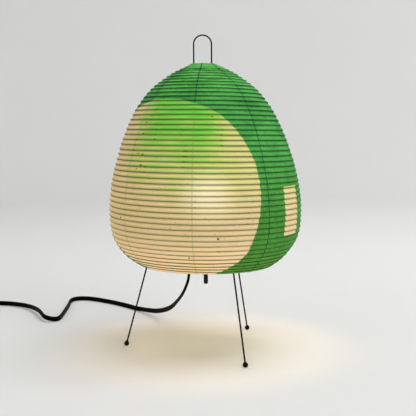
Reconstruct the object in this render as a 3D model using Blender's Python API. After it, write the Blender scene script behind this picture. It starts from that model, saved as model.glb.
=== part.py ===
"""A paper table lantern: a ribbed egg-shaped washi shade on three black wire legs.

Metres, +Z up, the front faces -Y. The origin is on the floor, on the lamp's axis.
"""

import math

import bmesh
import bpy
from mathutils import Vector

# Driving dimensions
GAP = 0.0003  # clearance between pieces that touch on the real lamp
AXIS_SEGMENTS = 24  # facets round a turned piece

# Shade: (radius, height) down its outer side, joined by one smooth curve
SHADE_OUTLINE = [
    (0.0183, 0.3876),
    (0.0395, 0.3780),
    (0.0572, 0.3665),
    (0.0738, 0.3528),
    (0.0922, 0.3285),
    (0.1080, 0.2960),
    (0.1193, 0.2630),
    (0.1273, 0.2300),
    (0.1308, 0.1900),
    (0.1264, 0.1570),
    (0.1102, 0.1320),
    (0.0926, 0.1188),
]
GORES = 8
CREAM_GORES = (1, 2, 3)  # the panels that carry the large pale disc
FIRST_SEAM = math.radians(-97.6)  # azimuth from the front, towards +X
GORE_COLUMNS = 5
GORE_ROWS = 22
PAPER = 0.0005
RIB_RADIUS = 0.0005
RIB_INSET = 0.0028  # from the paper's outer face to the middle of the rib
RIB_START = 0.011  # distance down the outline from the top rim to the first turn
RIB_TURNS = 45.5
RIB_STEPS = 10  # points on each turn
RIB_END_GAP = 0.004  # from the last turn's end to the bottom rim

TOP_RING = (0.0168, 0.3871)  # radius and height of its wire's middle
BOTTOM_RING = (0.0904, 0.1203)
RING_WIRE = 0.0008
HOOK_WIRE = 0.0008
HOOK_INNER = 0.0640
HOOK_OUTER = 0.0914
HOOK_TURN_UP = 0.0040
HOOK_BEND = 0.0015

# Stand
LEG_WIRE = 0.0011
LEG_AZIMUTHS = {"left": 176.3, "front": -63.7, "back": 56.3}  # degrees from +X towards +Y
FOOT_CIRCLE = 0.1117
FOOT_RADIUS = 0.0035
FOOT_FLAT = 0.0012
FOOT_STEPS = 7
LEG_LEAN = math.radians(15.4)  # from the vertical
LEG_BEND = 0.0045
LEG_HEIGHT = 0.1215  # of the level run from the leg's bend to the hub
LEG_END = 0.0170

HUB_RADIUS = 0.0325
HUB_BOTTOM, HUB_TOP = 0.1185, 0.1275
WIRE_HOLE = 0.0014
STRETCHER_SINK = 0.0025  # how deep the stretcher's ends go into the hub
STRETCHER_HOLE_SINK = 0.0030
NIPPLE_OUTER, NIPPLE_INNER = 0.0048, 0.0032
NIPPLE_HOLE = NIPPLE_OUTER + GAP
NIPPLE_BOTTOM, NIPPLE_TOP = 0.1125, 0.1350
NUT_FLATS, NUT_BOTTOM, NUT_TOP = 0.0150, 0.1278, 0.1313

STRETCHER_WIRE = 0.0010
STRETCHER_SHIFT = -0.0026  # its loop stands slightly left of the axis
LOOP_HALF = 0.0120
LOOP_TOP = 0.4269
SHOULDER_HEIGHT = 0.3854
STRETCHER_FOOT = 0.0235
STRETCHER_BEND = 0.0022
STRETCHER_SIDE = [(0.0235, 0.1500), (0.0340, 0.1950), (0.0340, 0.2500), (0.0200, 0.3779)]  # (x, z)

# Switch, socket and bulb, stacked on the axis
SWITCH_RADIUS, SWITCH_BOTTOM, SWITCH_TOP = 0.0120, 0.1065, 0.1182
SHAFT_RADIUS, SHAFT_BOTTOM, SHAFT_TOP = 0.0015, 0.0985, 0.1150
KNOB_RADIUS, KNOB_BOTTOM, KNOB_TOP = 0.0030, 0.0885, 0.1060
SWITCH_EDGE, KNOB_EDGE = 0.0015, 0.0009
CAP_RADIUS, CAP_BOTTOM, CAP_TOP = 0.0170, 0.1316, 0.1440
CAP_EDGE = 0.0030
SHELL_RADIUS, SHELL_BOTTOM, SHELL_TOP = 0.0185, 0.1443, 0.1720
SHELL_FLOOR_HOLE = 0.0140
HOLDER_WALL = 0.0013
INSULATOR_RADIUS = 0.0168
SCREW_INNER, SCREW_OUTER = 0.0135, 0.0140
SCREW_BOTTOM, SCREW_TOP = 0.1508, 0.1712
SCREW_FLOOR, SCREW_FLOOR_HOLE = 0.0006, 0.0080
CONTACT_RADIUS, CONTACT_EDGE, CONTACT_TOP = 0.0032, 0.0026, 0.1521
TIP_RADIUS, TIP_BOTTOM, TIP_TOP, TIP_EDGE = 0.0045, 0.1525, 0.1545, 0.0015
BULB_BASE_RADIUS, BULB_BASE_BOTTOM, BULB_BASE_TOP = 0.0131, 0.1548, 0.1755
BULB_BASE_NOSE = (0.0055, 0.0118, 0.0020)  # radius of its end, radius of its shoulder, and the rise between
THREAD_RIDGES, THREAD_DEPTH = 4, 0.0008
THREAD_LEAD_IN, THREAD_LEAD_OUT = 0.0030, 0.0010
BULB_RADIUS, BULB_CENTRE = 0.0225, 0.2070
BULB_NECK, BULB_THROAT, BULB_THROAT_HEIGHT = 0.0112, 0.0124, 0.1835
BULB_GLASS = 0.0008
GLOBE_START, GLOBE_STEPS = math.radians(-38.3), 9  # elevation at which the throat meets the globe

# Mains cord: it leaves the hub through a grommet, comes down behind the left leg and lies on the floor
CORD_RADIUS = 0.0025  # a round tube that stands for the flat 3.8 by 7.6 mm twin cord
CORD_SPACING = 0.0125
CORD_LEAD = 0.0035
GROMMET_AT = (-0.0234, 0.0125)
GROMMET_BOTTOM, GROMMET_TOP = 0.1010, 0.1293
GROMMET_HOLE = 0.0045
GROMMET_END, GROMMET_WAIST, GROMMET_COLLAR = 0.0030, 0.0040, 0.0055
LEAD_WIRE, LEAD_SPREAD, LEAD_BEND = 0.0008, 0.0013, 0.0015
LEAD_KNEE, LEAD_END = 0.1345, 0.1385  # heights
CORD_ROUTE = [
    (-0.0234, 0.0125, 0.1003),
    (-0.0238, 0.0128, 0.0970),
    (-0.0246, 0.0150, 0.0918),
    (-0.0268, 0.0240, 0.0836),
    (-0.0323, 0.0450, 0.0679),
    (-0.0420, 0.0790, 0.0483),
    (-0.0565, 0.1230, 0.0271),
    (-0.0788, 0.1710, 0.0118),
    (-0.0998, 0.2040, 0.0062),
    (-0.1190, 0.2290, 0.0038),
    (-0.1450, 0.2580, 0.0027),
    (-0.1700, 0.2810, 0.0027),
    (-0.1930, 0.2985, 0.0027),
    (-0.2110, 0.3075, 0.0027),
    (-0.2250, 0.3080, 0.0027),
    (-0.2340, 0.3010, 0.0027),
    (-0.2370, 0.2880, 0.0027),
    (-0.2350, 0.2550, 0.0027),
    (-0.2338, 0.2200, 0.0027),
    (-0.2331, 0.1880, 0.0027),
    (-0.2332, 0.1690, 0.0028),
    (-0.2347, 0.1563, 0.0033),
    (-0.2397, 0.1500, 0.0043),
    (-0.2471, 0.1482, 0.0057),
    (-0.2541, 0.1512, 0.0071),
    (-0.2588, 0.1578, 0.0080),
    (-0.2648, 0.1722, 0.0086),
    (-0.2735, 0.1935, 0.0083),
    (-0.2860, 0.2180, 0.0070),
    (-0.3030, 0.2420, 0.0054),
    (-0.3240, 0.2600, 0.0045),
    (-0.3500, 0.2690, 0.0045),
    (-0.3811, 0.2699, 0.0048),
]
COIL_CENTRE = (-0.4000, 0.2245)
COIL_INNER, COIL_OUTER = 0.0262, 0.0470
COIL_BOTTOM, COIL_TOP = 0.0012, 0.0087
TIE_AZIMUTH = math.radians(-60)
TIE_WIDTH, TIE_THICK = 0.0030, 0.0008
TAIL_ROUTE = [
    (-0.4290, 0.2235, 0.0114),
    (-0.4296, 0.2150, 0.0116),
    (-0.4302, 0.2050, 0.0116),
    (-0.4304, 0.1950, 0.0116),
    (-0.4304, 0.1870, 0.0114),
    (-0.4304, 0.1790, 0.0093),
    (-0.4304, 0.1735, 0.0076),
    (-0.4304, 0.1692, 0.0075),
]
PLUG_X, PLUG_Z = -0.4304, 0.0075
PLUG_RELIEF = (0.1686, 0.1503)  # from and to, along Y
PLUG_BACK, PLUG_FRONT = 0.1500, 0.1230
PLUG_WIDTH, PLUG_HEIGHT, PLUG_EDGE = 0.0240, 0.0144, 0.0025
RELIEF_WIDE, RELIEF_NARROW = 0.0052, 0.0034
PIN_SIZE = (0.0063, 0.0170, 0.0015)
PIN_SPREAD = 0.0127

# Colours are linear RGB
LOOKS = {
    "washi_green": ((0.045, 0.300, 0.075), 0.85, 0.0),
    "washi_cream": ((0.800, 0.610, 0.330), 0.85, 0.0),
    "bamboo": ((0.420, 0.280, 0.120), 0.70, 0.0),
    "black_wire": ((0.012, 0.012, 0.013), 0.45, 0.6),
    "black_plastic": ((0.015, 0.015, 0.016), 0.50, 0.0),
    "black_cord": ((0.012, 0.012, 0.013), 0.55, 0.0),
    "steel": ((0.520, 0.520, 0.530), 0.35, 1.0),
    "brass": ((0.700, 0.480, 0.200), 0.30, 1.0),
    "porcelain": ((0.850, 0.830, 0.780), 0.30, 0.0),
    "opal_glass": ((0.950, 0.900, 0.800), 0.20, 0.0),
}


# Helpers
def clear_scene():
    for old in list(bpy.data.objects):
        bpy.data.objects.remove(old, do_unlink=True)


def material(name):
    """The named material from LOOKS, made once."""
    made = bpy.data.materials.get(name)
    if made:
        return made
    colour, roughness, metallic = LOOKS[name]
    made = bpy.data.materials.new(name)
    made.use_nodes = True
    shader = made.node_tree.nodes["Principled BSDF"]
    shader.inputs["Base Color"].default_value = (*colour, 1.0)
    shader.inputs["Roughness"].default_value = roughness
    shader.inputs["Metallic"].default_value = metallic
    made.diffuse_color = (*colour, 1.0)
    return made


def group(name, at=(0.0, 0.0, 0.0)):
    """An empty that the pieces of one moving body hang from, on that body's joint axis."""
    empty = bpy.data.objects.new(name, None)
    empty.location = at
    bpy.context.collection.objects.link(empty)
    return empty


def place(piece, look, parent, at=(0.0, 0.0, 0.0)):
    piece.data.materials.append(material(look))
    bpy.context.collection.objects.link(piece)
    piece.parent = parent
    piece.location = Vector(at) - parent.location
    return piece


def mesh_piece(name, bm, look, parent, at=(0.0, 0.0, 0.0), smooth=True):
    bmesh.ops.remove_doubles(bm, verts=bm.verts, dist=1e-6)
    bmesh.ops.recalc_face_normals(bm, faces=bm.faces)
    mesh = bpy.data.meshes.new(name)
    bm.to_mesh(mesh)
    bm.free()
    if smooth:
        mesh.shade_smooth()
        mesh.set_sharp_from_angle(angle=math.radians(35))
    return place(bpy.data.objects.new(name, mesh), look, parent, at)


def turned(name, outline, look, parent, at=(0.0, 0.0, 0.0), segments=AXIS_SEGMENTS):
    """A solid of revolution about Z from a closed outline of (radius, height) points."""
    bm = bmesh.new()
    corners = [bm.verts.new((radius, 0.0, height)) for radius, height in outline]
    edges = [bm.edges.new((a, b)) for a, b in zip(corners, corners[1:] + corners[:1])]
    on_axis = [e for e in edges if all(v.co.x == 0.0 for v in e.verts)]
    turning = [e for e in edges if e not in on_axis]
    bmesh.ops.spin(
        bm, geom=corners + turning, cent=(0, 0, 0), axis=(0, 0, 1), angle=2 * math.pi, steps=segments
    )
    bmesh.ops.remove_doubles(bm, verts=bm.verts, dist=1e-6)
    bmesh.ops.delete(bm, geom=[e for e in bm.edges if not e.link_faces], context="EDGES")
    return mesh_piece(name, bm, look, parent, at)


def tube(outer, inner, bottom, top):
    """The outline of a plain tube for turned()."""
    return [(inner, bottom), (outer, bottom), (outer, top), (inner, top)]


def block(name, size, look, parent, at, bevel):
    bm = bmesh.new()
    bmesh.ops.create_cube(bm, size=1.0)
    bmesh.ops.scale(bm, vec=size, verts=bm.verts)
    if bevel:
        bmesh.ops.bevel(bm, geom=bm.edges, offset=bevel, segments=2, affect="EDGES")
    return mesh_piece(name, bm, look, parent, at)


def wire_curve(name, points, radius, resolution, cyclic=False):
    """A curve object with a round section through the points."""
    curve = bpy.data.curves.new(name, "CURVE")
    curve.dimensions = "3D"
    curve.bevel_depth = radius
    curve.bevel_resolution = resolution
    curve.use_fill_caps = not cyclic
    spline = curve.splines.new("POLY")
    spline.points.add(len(points) - 1)
    for spot, point in zip(spline.points, points):
        spot.co = (*point, 1.0)
    spline.use_cyclic_u = cyclic
    return bpy.data.objects.new(name, curve)


def curve_piece(name, points, radius, look, parent, resolution=2, cyclic=False):
    """A round wire or cord through points in the model's frame."""
    piece = place(wire_curve(name, points, radius, resolution, cyclic), look, parent)
    piece.location = -parent.location
    return piece


def bent(corners, radius, steps=4):
    """The corner points of a wire, with every inner corner turned into an arc."""
    corners = [Vector(corner) for corner in corners]
    path = [corners[0]]
    for before, corner, after in zip(corners, corners[1:], corners[2:]):
        back, on = (before - corner).normalized(), (after - corner).normalized()
        half = back.angle(on) / 2
        reach = radius / math.tan(half)
        middle = corner + (back + on).normalized() * (radius / math.sin(half))
        start, end = corner + back * reach - middle, corner + on * reach - middle
        path += [middle + start.slerp(end, i / steps) * radius for i in range(steps + 1)]
    return path + [corners[-1]]


def smooth_line(points, steps=12):
    """Points on a centripetal Catmull-Rom curve through the given ones."""
    known = [Vector(p) for p in points]
    known = [2 * known[0] - known[1], *known, 2 * known[-1] - known[-2]]
    line = []
    for a, b, c, d in zip(known, known[1:], known[2:], known[3:]):
        first, middle, last = (math.sqrt((q - p).length) for p, q in ((a, b), (b, c), (c, d)))
        leave = (b - a) / first - (c - a) / (first + middle) + (c - b) / middle
        arrive = (c - b) / middle - (d - b) / (middle + last) + (d - c) / last
        for step in range(steps):
            t = step / steps
            spot = b.lerp(c, t * t * (3 - 2 * t))
            line.append(spot + (t - 1) * t * middle * ((t - 1) * leave + t * arrive))
    return line + [known[-2]]


def spaced(line, count):
    """That many points at equal distances along a line."""
    along = [0.0]
    for a, b in zip(line, line[1:]):
        along.append(along[-1] + (b - a).length)
    spots, i = [], 0
    for k in range(count):
        target = along[-1] * k / (count - 1)
        while i < len(line) - 2 and along[i + 1] < target:
            i += 1
        spots.append(line[i].lerp(line[i + 1], (target - along[i]) / (along[i + 1] - along[i])))
    return spots


def line_length(line):
    return sum((b - a).length for a, b in zip(line, line[1:]))


def polar(radius, azimuth, height):
    return (radius * math.cos(azimuth), radius * math.sin(azimuth), height)


# Shade
def shade_line():
    """The shade's outer side as a fine line of (radius, 0, height)."""
    return smooth_line([(radius, 0.0, height) for radius, height in SHADE_OUTLINE], 16)


def gore(index, parent):
    """One paper panel: a thin closed sheet between two seams."""
    rows = spaced(shade_line(), GORE_ROWS)
    middle = FIRST_SEAM - math.pi / 2 + (index - 0.5) * 2 * math.pi / GORES
    half = math.pi / GORES
    bm = bmesh.new()
    sheets = []
    for depth in (0.0, PAPER):
        sheet = []
        for row, spot in enumerate(rows):
            run = rows[min(row + 1, GORE_ROWS - 1)] - rows[max(row - 1, 0)]
            inward = Vector((run.z, 0.0, -run.x)).normalized()
            on = spot + inward * depth
            reach = half - GAP / 2 / on.x
            sheet.append(
                [
                    bm.verts.new(polar(on.x, middle + reach * (2 * c / GORE_COLUMNS - 1), on.z))
                    for c in range(GORE_COLUMNS + 1)
                ]
            )
        sheets.append(sheet)
    outer, inner = sheets
    for row in range(GORE_ROWS - 1):
        for c in range(GORE_COLUMNS):
            for sheet in sheets:
                bm.faces.new((sheet[row][c], sheet[row + 1][c], sheet[row + 1][c + 1], sheet[row][c + 1]))
        for c in (0, GORE_COLUMNS):
            bm.faces.new((outer[row][c], outer[row + 1][c], inner[row + 1][c], inner[row][c]))
    for row in (0, GORE_ROWS - 1):
        for c in range(GORE_COLUMNS):
            bm.faces.new((outer[row][c], outer[row][c + 1], inner[row][c + 1], inner[row][c]))
    look = "washi_cream" if index in CREAM_GORES else "washi_green"
    return mesh_piece(f"shade_gore_{index}", bm, look, parent)


def rib(parent):
    """The one long rib, wound in a helix inside the paper from the top rim to the bottom."""
    fine = shade_line()
    whole = line_length(fine)
    last = 400
    rows = spaced(fine, last + 1)
    count = int(RIB_TURNS * RIB_STEPS)
    points = []
    for k in range(count + 1):
        along = RIB_START + (whole - RIB_START - RIB_END_GAP) * k / count
        row = min(int(along / whole * last), last - 1)
        run = rows[row + 1] - rows[row]
        spot = rows[row] + run * (along / whole * last - row)
        spot += Vector((run.z, 0.0, -run.x)).normalized() * RIB_INSET
        points.append(polar(spot.x, 2 * math.pi * k / RIB_STEPS, spot.z))
    return curve_piece("shade_rib", points, RIB_RADIUS, "bamboo", parent, resolution=0)


def ring(name, size, parent, steps):
    radius, height = size
    points = [polar(radius, 2 * math.pi * k / steps, height) for k in range(steps)]
    return curve_piece(name, points, RING_WIRE, "black_wire", parent, resolution=1, cyclic=True)


def hook(name, azimuth, parent):
    """A wire tab from the bottom ring that rests on a leg's level run."""
    height = LEG_HEIGHT + LEG_WIRE + GAP + HOOK_WIRE
    corners = [
        polar(HOOK_OUTER, azimuth, height),
        polar(HOOK_INNER, azimuth, height),
        polar(HOOK_INNER, azimuth, height + HOOK_TURN_UP),
    ]
    return curve_piece(name, bent(corners, HOOK_BEND), HOOK_WIRE, "black_wire", parent)


def make_shade():
    shade = group("shade_lift_axis", (0.0, 0.0, BOTTOM_RING[1]))
    for index in range(1, GORES + 1):
        gore(index, shade)
    rib(shade)
    ring("shade_top_ring", TOP_RING, shade, 32)
    ring("shade_bottom_ring", BOTTOM_RING, shade, 48)
    for side, azimuth in LEG_AZIMUTHS.items():
        hook(f"shade_hook_{side}", math.radians(azimuth), shade)


# Stand
def leg(side, azimuth, stand):
    """A straight leg that bends level at the shade's rim and runs into the hub."""
    lean = Vector((math.sin(LEG_LEAN), 0.0, -math.cos(LEG_LEAN)))
    ball = Vector((FOOT_CIRCLE, 0.0, FOOT_RADIUS))
    foot_end = ball - lean * (FOOT_RADIUS + GAP)
    bend = ball - lean * ((LEG_HEIGHT - FOOT_RADIUS) / math.cos(LEG_LEAN))
    corners = [foot_end, bend, (LEG_END, 0.0, LEG_HEIGHT)]
    points = [polar(p[0], azimuth, p[2]) for p in bent(corners, LEG_BEND, 5)]
    curve_piece(f"leg_{side}", points, LEG_WIRE, "black_wire", stand)


def foot(side, azimuth, stand):
    """A ball with a small flat that it stands on."""
    flat = math.asin(FOOT_FLAT / FOOT_RADIUS)
    sink = FOOT_RADIUS * (1 - math.cos(flat))
    outline = [(0.0, 0.0)]
    for k in range(FOOT_STEPS):
        a = flat + (math.pi - flat) * k / FOOT_STEPS
        outline.append((FOOT_RADIUS * math.sin(a), FOOT_RADIUS - FOOT_RADIUS * math.cos(a) - sink))
    outline.append((0.0, 2 * FOOT_RADIUS - sink))
    turned(f"foot_{side}", outline, "black_wire", stand, polar(FOOT_CIRCLE, azimuth, 0.0), 16)


def cutter(name, start, end, radius):
    """A straight round rod that a Boolean takes out of the hub."""
    rod = wire_curve(name, (start, end), radius, 4)
    bpy.context.collection.objects.link(rod)
    mesh = bpy.data.meshes.new_from_object(rod.evaluated_get(bpy.context.evaluated_depsgraph_get()))
    bpy.data.objects.remove(rod, do_unlink=True)
    rod = bpy.data.objects.new(name, mesh)
    bpy.context.collection.objects.link(rod)
    rod.hide_render = True
    rod.display_type = "WIRE"
    return rod


def hub(stand):
    """The round plate that holds the legs, the stretcher, the socket and the grommet."""
    plate = turned("leg_hub", tube(HUB_RADIUS, NIPPLE_HOLE, HUB_BOTTOM, HUB_TOP), "black_wire", stand)
    beyond = HUB_RADIUS  # how far a cutter runs past the plate
    holes = []
    for degrees in LEG_AZIMUTHS.values():
        azimuth = math.radians(degrees)
        inner = polar(LEG_END - GAP, azimuth, LEG_HEIGHT)
        outer = polar(HUB_RADIUS + beyond, azimuth, LEG_HEIGHT)
        holes.append((inner, outer, WIRE_HOLE))
    for x in (-STRETCHER_FOOT, STRETCHER_FOOT):
        holes.append(((x, 0.0, HUB_TOP - STRETCHER_HOLE_SINK), (x, 0.0, HUB_TOP + beyond), WIRE_HOLE))
    holes.append(((*GROMMET_AT, HUB_BOTTOM - beyond), (*GROMMET_AT, HUB_TOP + beyond), GROMMET_HOLE))
    for number, (start, end, radius) in enumerate(holes):
        cut = plate.modifiers.new(f"hole_{number}", "BOOLEAN")
        cut.operation = "DIFFERENCE"
        cut.solver = "EXACT"
        cut.object = cutter(f"hole_cutter_{number}", start, end, radius)


def nut(stand):
    """A six-sided nut with a round hole, drawn out of a plain ring."""
    half = NUT_FLATS / 2
    piece = turned("hub_nut", tube(half, NIPPLE_HOLE, NUT_BOTTOM, NUT_TOP), "steel", stand)
    side = math.pi / 3
    for vertex in piece.data.vertices:
        radius = math.hypot(vertex.co.x, vertex.co.y)
        if radius > (half + NIPPLE_HOLE) / 2:
            off_middle = (math.atan2(vertex.co.y, vertex.co.x) + side / 2) % side - side / 2
            vertex.co.xy *= 1 / math.cos(off_middle)
    piece.data.set_sharp_from_angle(angle=math.radians(20))


def stretcher(stand):
    """The hairpin that the shade hangs on: its loop is the handle, its shoulders carry the top ring."""
    arc_steps = 12
    arc_middle = LOOP_TOP - LOOP_HALF
    loop = []
    for k in range(arc_steps + 1):
        x, y, _ = polar(LOOP_HALF, math.pi * k / arc_steps, 0.0)
        loop.append(Vector((x + STRETCHER_SHIFT, 0.0, arc_middle + y)))
    halves = []
    for side, arc_end in ((1, loop[0]), (-1, loop[-1])):
        corners = [(side * STRETCHER_FOOT, 0.0, HUB_TOP - STRETCHER_SINK)]
        corners += [(side * x, 0.0, z) for x, z in STRETCHER_SIDE]
        corners += [(side * LOOP_HALF + STRETCHER_SHIFT, 0.0, SHOULDER_HEIGHT), arc_end]
        halves.append(bent(corners, STRETCHER_BEND))
    points = halves[0][:-1] + loop + halves[1][-2::-1]
    curve_piece("stretcher_hairpin", points, STRETCHER_WIRE, "black_wire", stand)


def make_stand(stand):
    for side, degrees in LEG_AZIMUTHS.items():
        leg(side, math.radians(degrees), stand)
        foot(side, math.radians(degrees), stand)
    hub(stand)
    nut(stand)
    stretcher(stand)
    turned(
        "threaded_nipple",
        tube(NIPPLE_OUTER, NIPPLE_INNER, NIPPLE_BOTTOM, NIPPLE_TOP),
        "steel",
        stand,
    )


# Switch, socket and bulb
def make_switch(stand):
    bore = NIPPLE_BOTTOM - GAP
    shaft_hole = SHAFT_RADIUS + GAP
    turned(
        "switch_body",
        [
            (shaft_hole, SWITCH_BOTTOM),
            (SWITCH_RADIUS - SWITCH_EDGE, SWITCH_BOTTOM),
            (SWITCH_RADIUS, SWITCH_BOTTOM + SWITCH_EDGE),
            (SWITCH_RADIUS, SWITCH_TOP),
            (NIPPLE_HOLE, SWITCH_TOP),
            (NIPPLE_HOLE, bore),
            (shaft_hole, bore),
        ],
        "black_plastic",
        stand,
    )
    knob = group("switch_knob_axis", (0.0, 0.0, KNOB_TOP))
    shaft = [(0.0, SHAFT_BOTTOM), (SHAFT_RADIUS, SHAFT_BOTTOM), (SHAFT_RADIUS, SHAFT_TOP), (0.0, SHAFT_TOP)]
    rod = turned("switch_shaft", shaft, "brass", knob, segments=12)
    cap = turned(
        "switch_knob",
        [
            (0.0, KNOB_BOTTOM),
            (KNOB_RADIUS - KNOB_EDGE, KNOB_BOTTOM),
            (KNOB_RADIUS - KNOB_EDGE * 0.3, KNOB_BOTTOM + KNOB_EDGE * 0.3),
            (KNOB_RADIUS, KNOB_BOTTOM + KNOB_EDGE),
            (KNOB_RADIUS, KNOB_TOP),
            (shaft_hole, KNOB_TOP),
            (shaft_hole, SHAFT_BOTTOM - GAP),
            (0.0, SHAFT_BOTTOM - GAP),
        ],
        "black_plastic",
        knob,
        segments=16,
    )
    for piece in (rod, cap):
        piece.location = -knob.location


def make_socket(stand):
    turned(
        "socket_cap",
        [
            (NIPPLE_HOLE, CAP_BOTTOM),
            (CAP_RADIUS - CAP_EDGE, CAP_BOTTOM),
            (CAP_RADIUS, CAP_BOTTOM + CAP_EDGE),
            (CAP_RADIUS, CAP_TOP),
            (CAP_RADIUS - HOLDER_WALL, CAP_TOP),
            (CAP_RADIUS - HOLDER_WALL, CAP_BOTTOM + CAP_EDGE + HOLDER_WALL / 2),
            (CAP_RADIUS - CAP_EDGE - HOLDER_WALL / 2, CAP_BOTTOM + HOLDER_WALL),
            (NIPPLE_HOLE, CAP_BOTTOM + HOLDER_WALL),
        ],
        "black_plastic",
        stand,
    )
    turned(
        "socket_shell",
        [
            (SHELL_FLOOR_HOLE, SHELL_BOTTOM),
            (SHELL_RADIUS, SHELL_BOTTOM),
            (SHELL_RADIUS, SHELL_TOP),
            (SHELL_RADIUS - HOLDER_WALL, SHELL_TOP),
            (SHELL_RADIUS - HOLDER_WALL, SHELL_BOTTOM + HOLDER_WALL),
            (SHELL_FLOOR_HOLE, SHELL_BOTTOM + HOLDER_WALL),
        ],
        "black_plastic",
        stand,
    )
    seat = SHELL_BOTTOM + HOLDER_WALL + GAP
    turned("socket_insulator", tube(INSULATOR_RADIUS, 0.0, seat, SCREW_BOTTOM - GAP), "porcelain", stand)
    turned(
        "screw_shell",
        [
            (SCREW_FLOOR_HOLE, SCREW_BOTTOM),
            (SCREW_OUTER, SCREW_BOTTOM),
            (SCREW_OUTER, SCREW_TOP),
            (SCREW_INNER, SCREW_TOP),
            (SCREW_INNER, SCREW_BOTTOM + SCREW_FLOOR),
            (SCREW_FLOOR_HOLE, SCREW_BOTTOM + SCREW_FLOOR),
        ],
        "brass",
        stand,
    )
    turned(
        "centre_contact",
        [
            (0.0, SCREW_BOTTOM),
            (CONTACT_RADIUS, SCREW_BOTTOM),
            (CONTACT_EDGE, CONTACT_TOP),
            (0.0, CONTACT_TOP),
        ],
        "brass",
        stand,
        segments=12,
    )


def bulb_wall(inset):
    """The bulb's wall from its neck up to its top, that far inside its outer face."""
    radius = BULB_RADIUS - inset
    wall = [(BULB_NECK - inset, BULB_BASE_TOP + GAP), (BULB_THROAT - inset, BULB_THROAT_HEIGHT)]
    for k in range(GLOBE_STEPS):
        elevation = GLOBE_START + (math.pi / 2 - GLOBE_START) * k / GLOBE_STEPS
        wall.append((radius * math.cos(elevation), BULB_CENTRE + radius * math.sin(elevation)))
    return wall + [(0.0, BULB_CENTRE + radius)]


def make_bulb():
    carrier = group("bulb_rise_axis", (0.0, 0.0, BULB_BASE_BOTTOM))
    tip = turned(
        "bulb_tip",
        [
            (0.0, TIP_BOTTOM),
            (TIP_RADIUS - TIP_EDGE, TIP_BOTTOM),
            (TIP_RADIUS, TIP_BOTTOM + TIP_EDGE / 2),
            (TIP_RADIUS, TIP_TOP),
            (0.0, TIP_TOP),
        ],
        "brass",
        carrier,
        segments=16,
    )
    tip.location = -carrier.location
    spinner = group("bulb_turn_axis", (0.0, 0.0, BULB_BASE_BOTTOM))
    nose, shoulder, rise = BULB_BASE_NOSE
    pitch = (BULB_BASE_TOP - BULB_BASE_BOTTOM - THREAD_LEAD_IN - THREAD_LEAD_OUT) / THREAD_RIDGES
    side = []
    for k in range(THREAD_RIDGES):
        low = BULB_BASE_BOTTOM + THREAD_LEAD_IN + pitch * k
        side += [(BULB_BASE_RADIUS - THREAD_DEPTH, low), (BULB_BASE_RADIUS, low + pitch / 2)]
    base = turned(
        "bulb_base",
        [
            (0.0, BULB_BASE_BOTTOM),
            (nose, BULB_BASE_BOTTOM),
            (shoulder, BULB_BASE_BOTTOM + rise),
            *side,
            (BULB_BASE_RADIUS - THREAD_DEPTH, BULB_BASE_TOP),
            (0.0, BULB_BASE_TOP),
        ],
        "steel",
        spinner,
    )
    walls = bulb_wall(0.0) + bulb_wall(BULB_GLASS)[::-1]
    glass = turned("bulb_glass", walls, "opal_glass", spinner)
    for piece in (base, glass):
        piece.location = -spinner.location


# Mains cord
def grommet(stand):
    """The tapered strain relief that is held in the hub."""
    turned(
        "cord_grommet",
        [
            (0.0, GROMMET_BOTTOM),
            (GROMMET_END, GROMMET_BOTTOM),
            (GROMMET_WAIST, HUB_BOTTOM - 3 * GAP),
            (GROMMET_WAIST, HUB_TOP + GAP),
            (GROMMET_COLLAR, HUB_TOP + GAP),
            (GROMMET_COLLAR, GROMMET_TOP),
            (0.0, GROMMET_TOP),
        ],
        "black_plastic",
        stand,
        (*GROMMET_AT, 0.0),
        16,
    )


def lead_wires(stand):
    """The two conductors, from the grommet up to the socket's cap."""
    for number, shift in ((1, -LEAD_SPREAD), (2, LEAD_SPREAD)):
        x, y = GROMMET_AT[0] + shift, GROMMET_AT[1] + shift
        end = Vector((x, y)).normalized() * (CAP_RADIUS + GAP + LEAD_WIRE)
        route = [(x, y, GROMMET_TOP + GAP), (x, y, LEAD_KNEE), (end.x, end.y, LEAD_END)]
        curve_piece(f"lead_wire_{number}", bent(route, LEAD_BEND), LEAD_WIRE, "black_cord", stand, 1)


def cord_piece(name, route, stand):
    """A stretch of cord, with one early point so that its end face stays square to the way it starts."""
    line = smooth_line(route)
    count = max(4, round(line_length(line) / CORD_SPACING))
    start, *rest = spaced(line, count)
    lead = start + (line[1] - start).normalized() * CORD_LEAD
    curve_piece(name, [start, lead, *rest], CORD_RADIUS, "black_cord", stand)


def tie(stand):
    """The band round the coil's turns."""
    reach = TIE_THICK + GAP
    bm = bmesh.new()
    loops = []
    for grow in (GAP, reach):
        for across in (-TIE_WIDTH / 2, TIE_WIDTH / 2):
            loops.append(
                [
                    bm.verts.new((radius, across, height))
                    for radius, height in (
                        (COIL_INNER - grow, COIL_BOTTOM - grow),
                        (COIL_OUTER + grow, COIL_BOTTOM - grow),
                        (COIL_OUTER + grow, COIL_TOP + grow),
                        (COIL_INNER - grow, COIL_TOP + grow),
                    )
                ]
            )
    inner_left, inner_right, outer_left, outer_right = loops
    joined = [(inner_left, inner_right), (outer_left, outer_right), (inner_left, outer_left)]
    joined.append((inner_right, outer_right))
    for one, other in joined:
        for k in range(4):
            bm.faces.new((one[k], one[k - 1], other[k - 1], other[k]))
    band = mesh_piece("cord_tie", bm, "black_plastic", stand, (*COIL_CENTRE, 0.0), smooth=False)
    band.rotation_euler.z = TIE_AZIMUTH


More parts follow.
